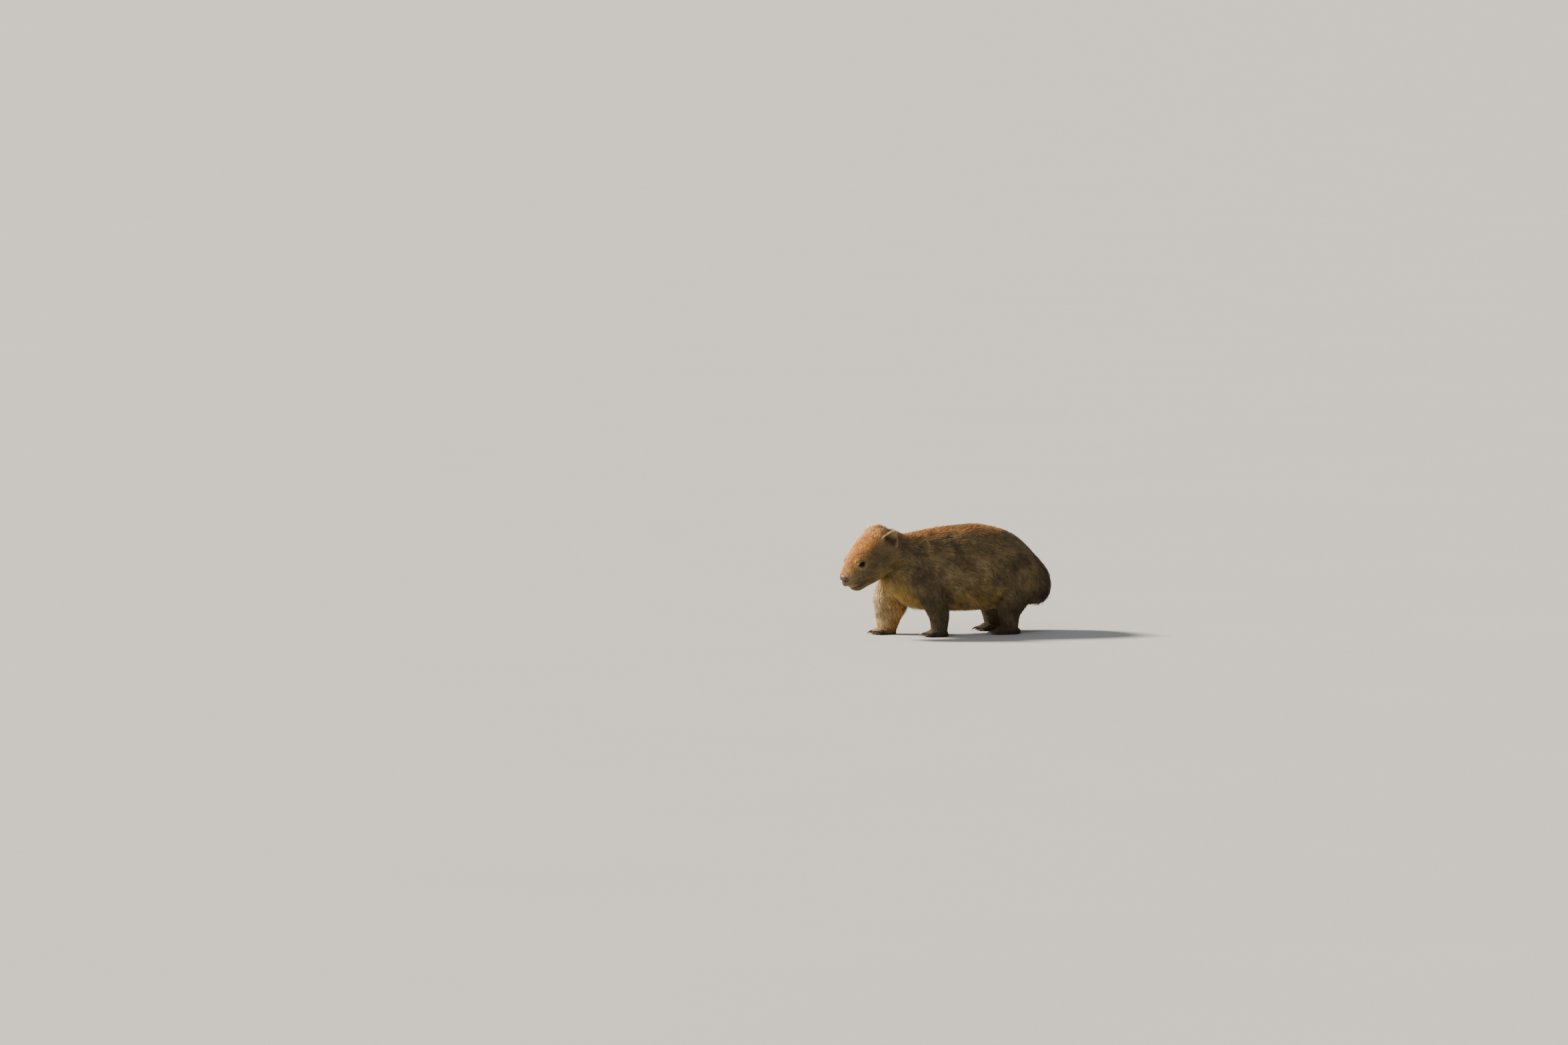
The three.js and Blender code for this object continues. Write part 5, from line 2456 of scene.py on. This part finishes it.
@dataclass(frozen=True)
class Wombat:
    """The whole animal."""

    body: Body = field(default_factory=Body)
    pelt: Pelt = field(default_factory=Pelt)

    def build(self) -> None:
        """Makes the skin, the coat and the bare pieces."""
        skin = Skin(self.body)
        bm = skin.build()
        bm.verts.index_update()
        bm.normal_update()
        points = np.array([v.co for v in bm.verts])
        normals = np.round(np.array([v.normal for v in bm.verts]), 5)
        triangles = in_order([[v.index for v in f.verts] for f in bm.faces])
        edges = in_order([[v.index for v in e.verts] for e in bm.edges])
        fields = PeltMap(skin).fields(points, normals, edges)
        self.dress(bm, points, fields.masks)
        LOG.info("skin: %d triangles", len(triangles))
        hair = CoatFinish(self.pelt).material()
        Coat(self.body, hair).build(points, normals, triangles, fields)
        self.bare_pieces()

    def dress(self, bm: BMesh, points: Array, masks: dict[str, Array]) -> None:
        """Makes the skin an object with its markings.

        Args:
            bm: Its mesh.
            points: Its vertices.
            masks: The markings at each vertex.
        """
        made = put("skin", bm, SkinFinish(self.pelt).material())
        float_attribute(made.data, "along", np.full(len(points), 0.35))
        float_attribute(made.data, "tone", 0.45 + 0.12 * wave_noise(points, 0.03, 9))
        for name, values in masks.items():
            float_attribute(made.data, name, values)
        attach(made, "root")
        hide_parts(*FLESH)

    def bare_pieces(self) -> None:
        """Makes the eyes, the nose and the claws."""
        dark, rim = EyeFinish().material(), LidFinish().material()
        for side, name in zip(SIDES, ("eye_left", "eye_right")):
            eye = Eye(side, name)
            eye.build(dark)
            eye.rim(rim)
            LOG.info("%s", name)
        Nose().build(NoseFinish().material())
        LOG.info("nose")
        horn = ClawFinish().material()
        for leg in self.body.legs:
            Claws(leg).build(horn)
            LOG.info("claws of %s", leg.region.name.lower())


@dataclass(frozen=True)
class Sun:
    """A broad, even light. Its azimuth is that of a camera that looks along it."""

    name: str
    azimuth: float
    height: float
    power: float
    size: float
    tint: Point

    def build(self) -> None:
        """Adds the light."""
        data = bpy.data.lights.new(self.name, "SUN")
        data.energy = self.power
        data.angle = math.radians(self.size)
        data.color = self.tint
        made = bpy.data.objects.new(self.name, data)
        made.rotation_euler = back_of(self.azimuth, self.height).to_track_quat("Z", "Y").to_euler()
        bpy.context.scene.collection.objects.link(made)


def back_of(azimuth: float, height: float) -> Vector:
    """The direction towards a camera or a light.

    Args:
        azimuth: Its azimuth in degrees, 0 on the animal's left.
        height: Its height in degrees.

    Returns:
        A direction one long.
    """
    a, e = math.radians(azimuth), math.radians(height)
    return Vector((math.sin(a) * math.cos(e), -math.cos(a) * math.cos(e), math.sin(e)))


@dataclass(frozen=True)
class Studio:
    """Floor, lights and camera."""

    azimuth: float = -24.0
    elevation: float = 4.0
    lens: float = 200.0
    sensor: float = 36.0
    frame_width: float = 4.82
    aim: Pair = (-0.498, 0.343)
    ground_x: float = 0.0177
    floor_size: float = 260.0
    sky: Numbers = (0.87, 0.86, 0.83, 1.0)
    sky_power: float = 0.5
    wall: Numbers = (0.98, 0.96, 0.92, 1.0)
    wall_power: float = 1.2
    suns: tuple[Sun, ...] = (
        Sun("key", -130.0, 35.0, 15.5, 10.0, (1.0, 0.87, 0.69)),
        Sun("fill", -45.0, 42.0, 0.8, 16.0, (1.0, 0.97, 0.92)),
    )

    def camera(self) -> None:
        """Sets the camera at the photo's angle and framing."""
        data = bpy.data.cameras.new("camera")
        data.lens = self.lens
        data.sensor_width = self.sensor
        data.clip_end = 600.0
        a = math.radians(self.azimuth)
        right = Vector((math.cos(a), math.sin(a), 0))
        back = back_of(self.azimuth, self.elevation)
        up = back.cross(right)
        target = Vector((self.ground_x, 0, 0)) + right * self.aim[0] + up * self.aim[1]
        distance = self.frame_width * self.lens / self.sensor
        made = bpy.data.objects.new("camera", data)
        basis = Matrix((right, up, back)).transposed().to_4x4()
        made.matrix_world = Matrix.Translation(target + back * distance) @ basis
        bpy.context.scene.collection.objects.link(made)
        bpy.context.scene.camera = made

    def world(self) -> None:
        """Lights the studio softly all round. The camera sees a plain, lighter wall."""
        world = bpy.data.worlds.new("studio")
        world.use_nodes = True
        g = Graph(world.node_tree)
        soft = world.node_tree.nodes["Background"]
        g.feed(soft, Color=self.sky, Strength=self.sky_power)
        wall = g.add("ShaderNodeBackground", Color=self.wall, Strength=self.wall_power)
        seen = g.add("ShaderNodeLightPath").outputs["Is Camera Ray"]
        both = g.add("ShaderNodeMixShader", _0=seen, _1=soft.outputs[0], _2=wall.outputs[0])
        g.feed(world.node_tree.nodes["World Output"], Surface=both.outputs[0])
        bpy.context.scene.world = world

    def build(self) -> None:
        """Makes floor, lights and camera."""
        bm = bmesh.new()
        bmesh.ops.create_grid(bm, x_segments=1, y_segments=1, size=self.floor_size)
        floor = put("floor", bm, FloorFinish().material())
        self.world()
        for sun in self.suns:
            sun.build()
        self.camera()


def main() -> None:
    """Builds the animal and its studio."""
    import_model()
    Wombat().build()
    Studio().build()


if __name__ == "__main__":
    logging.basicConfig(level=logging.INFO, format="%(name)s: %(message)s", stream=sys.stdout)
    main()
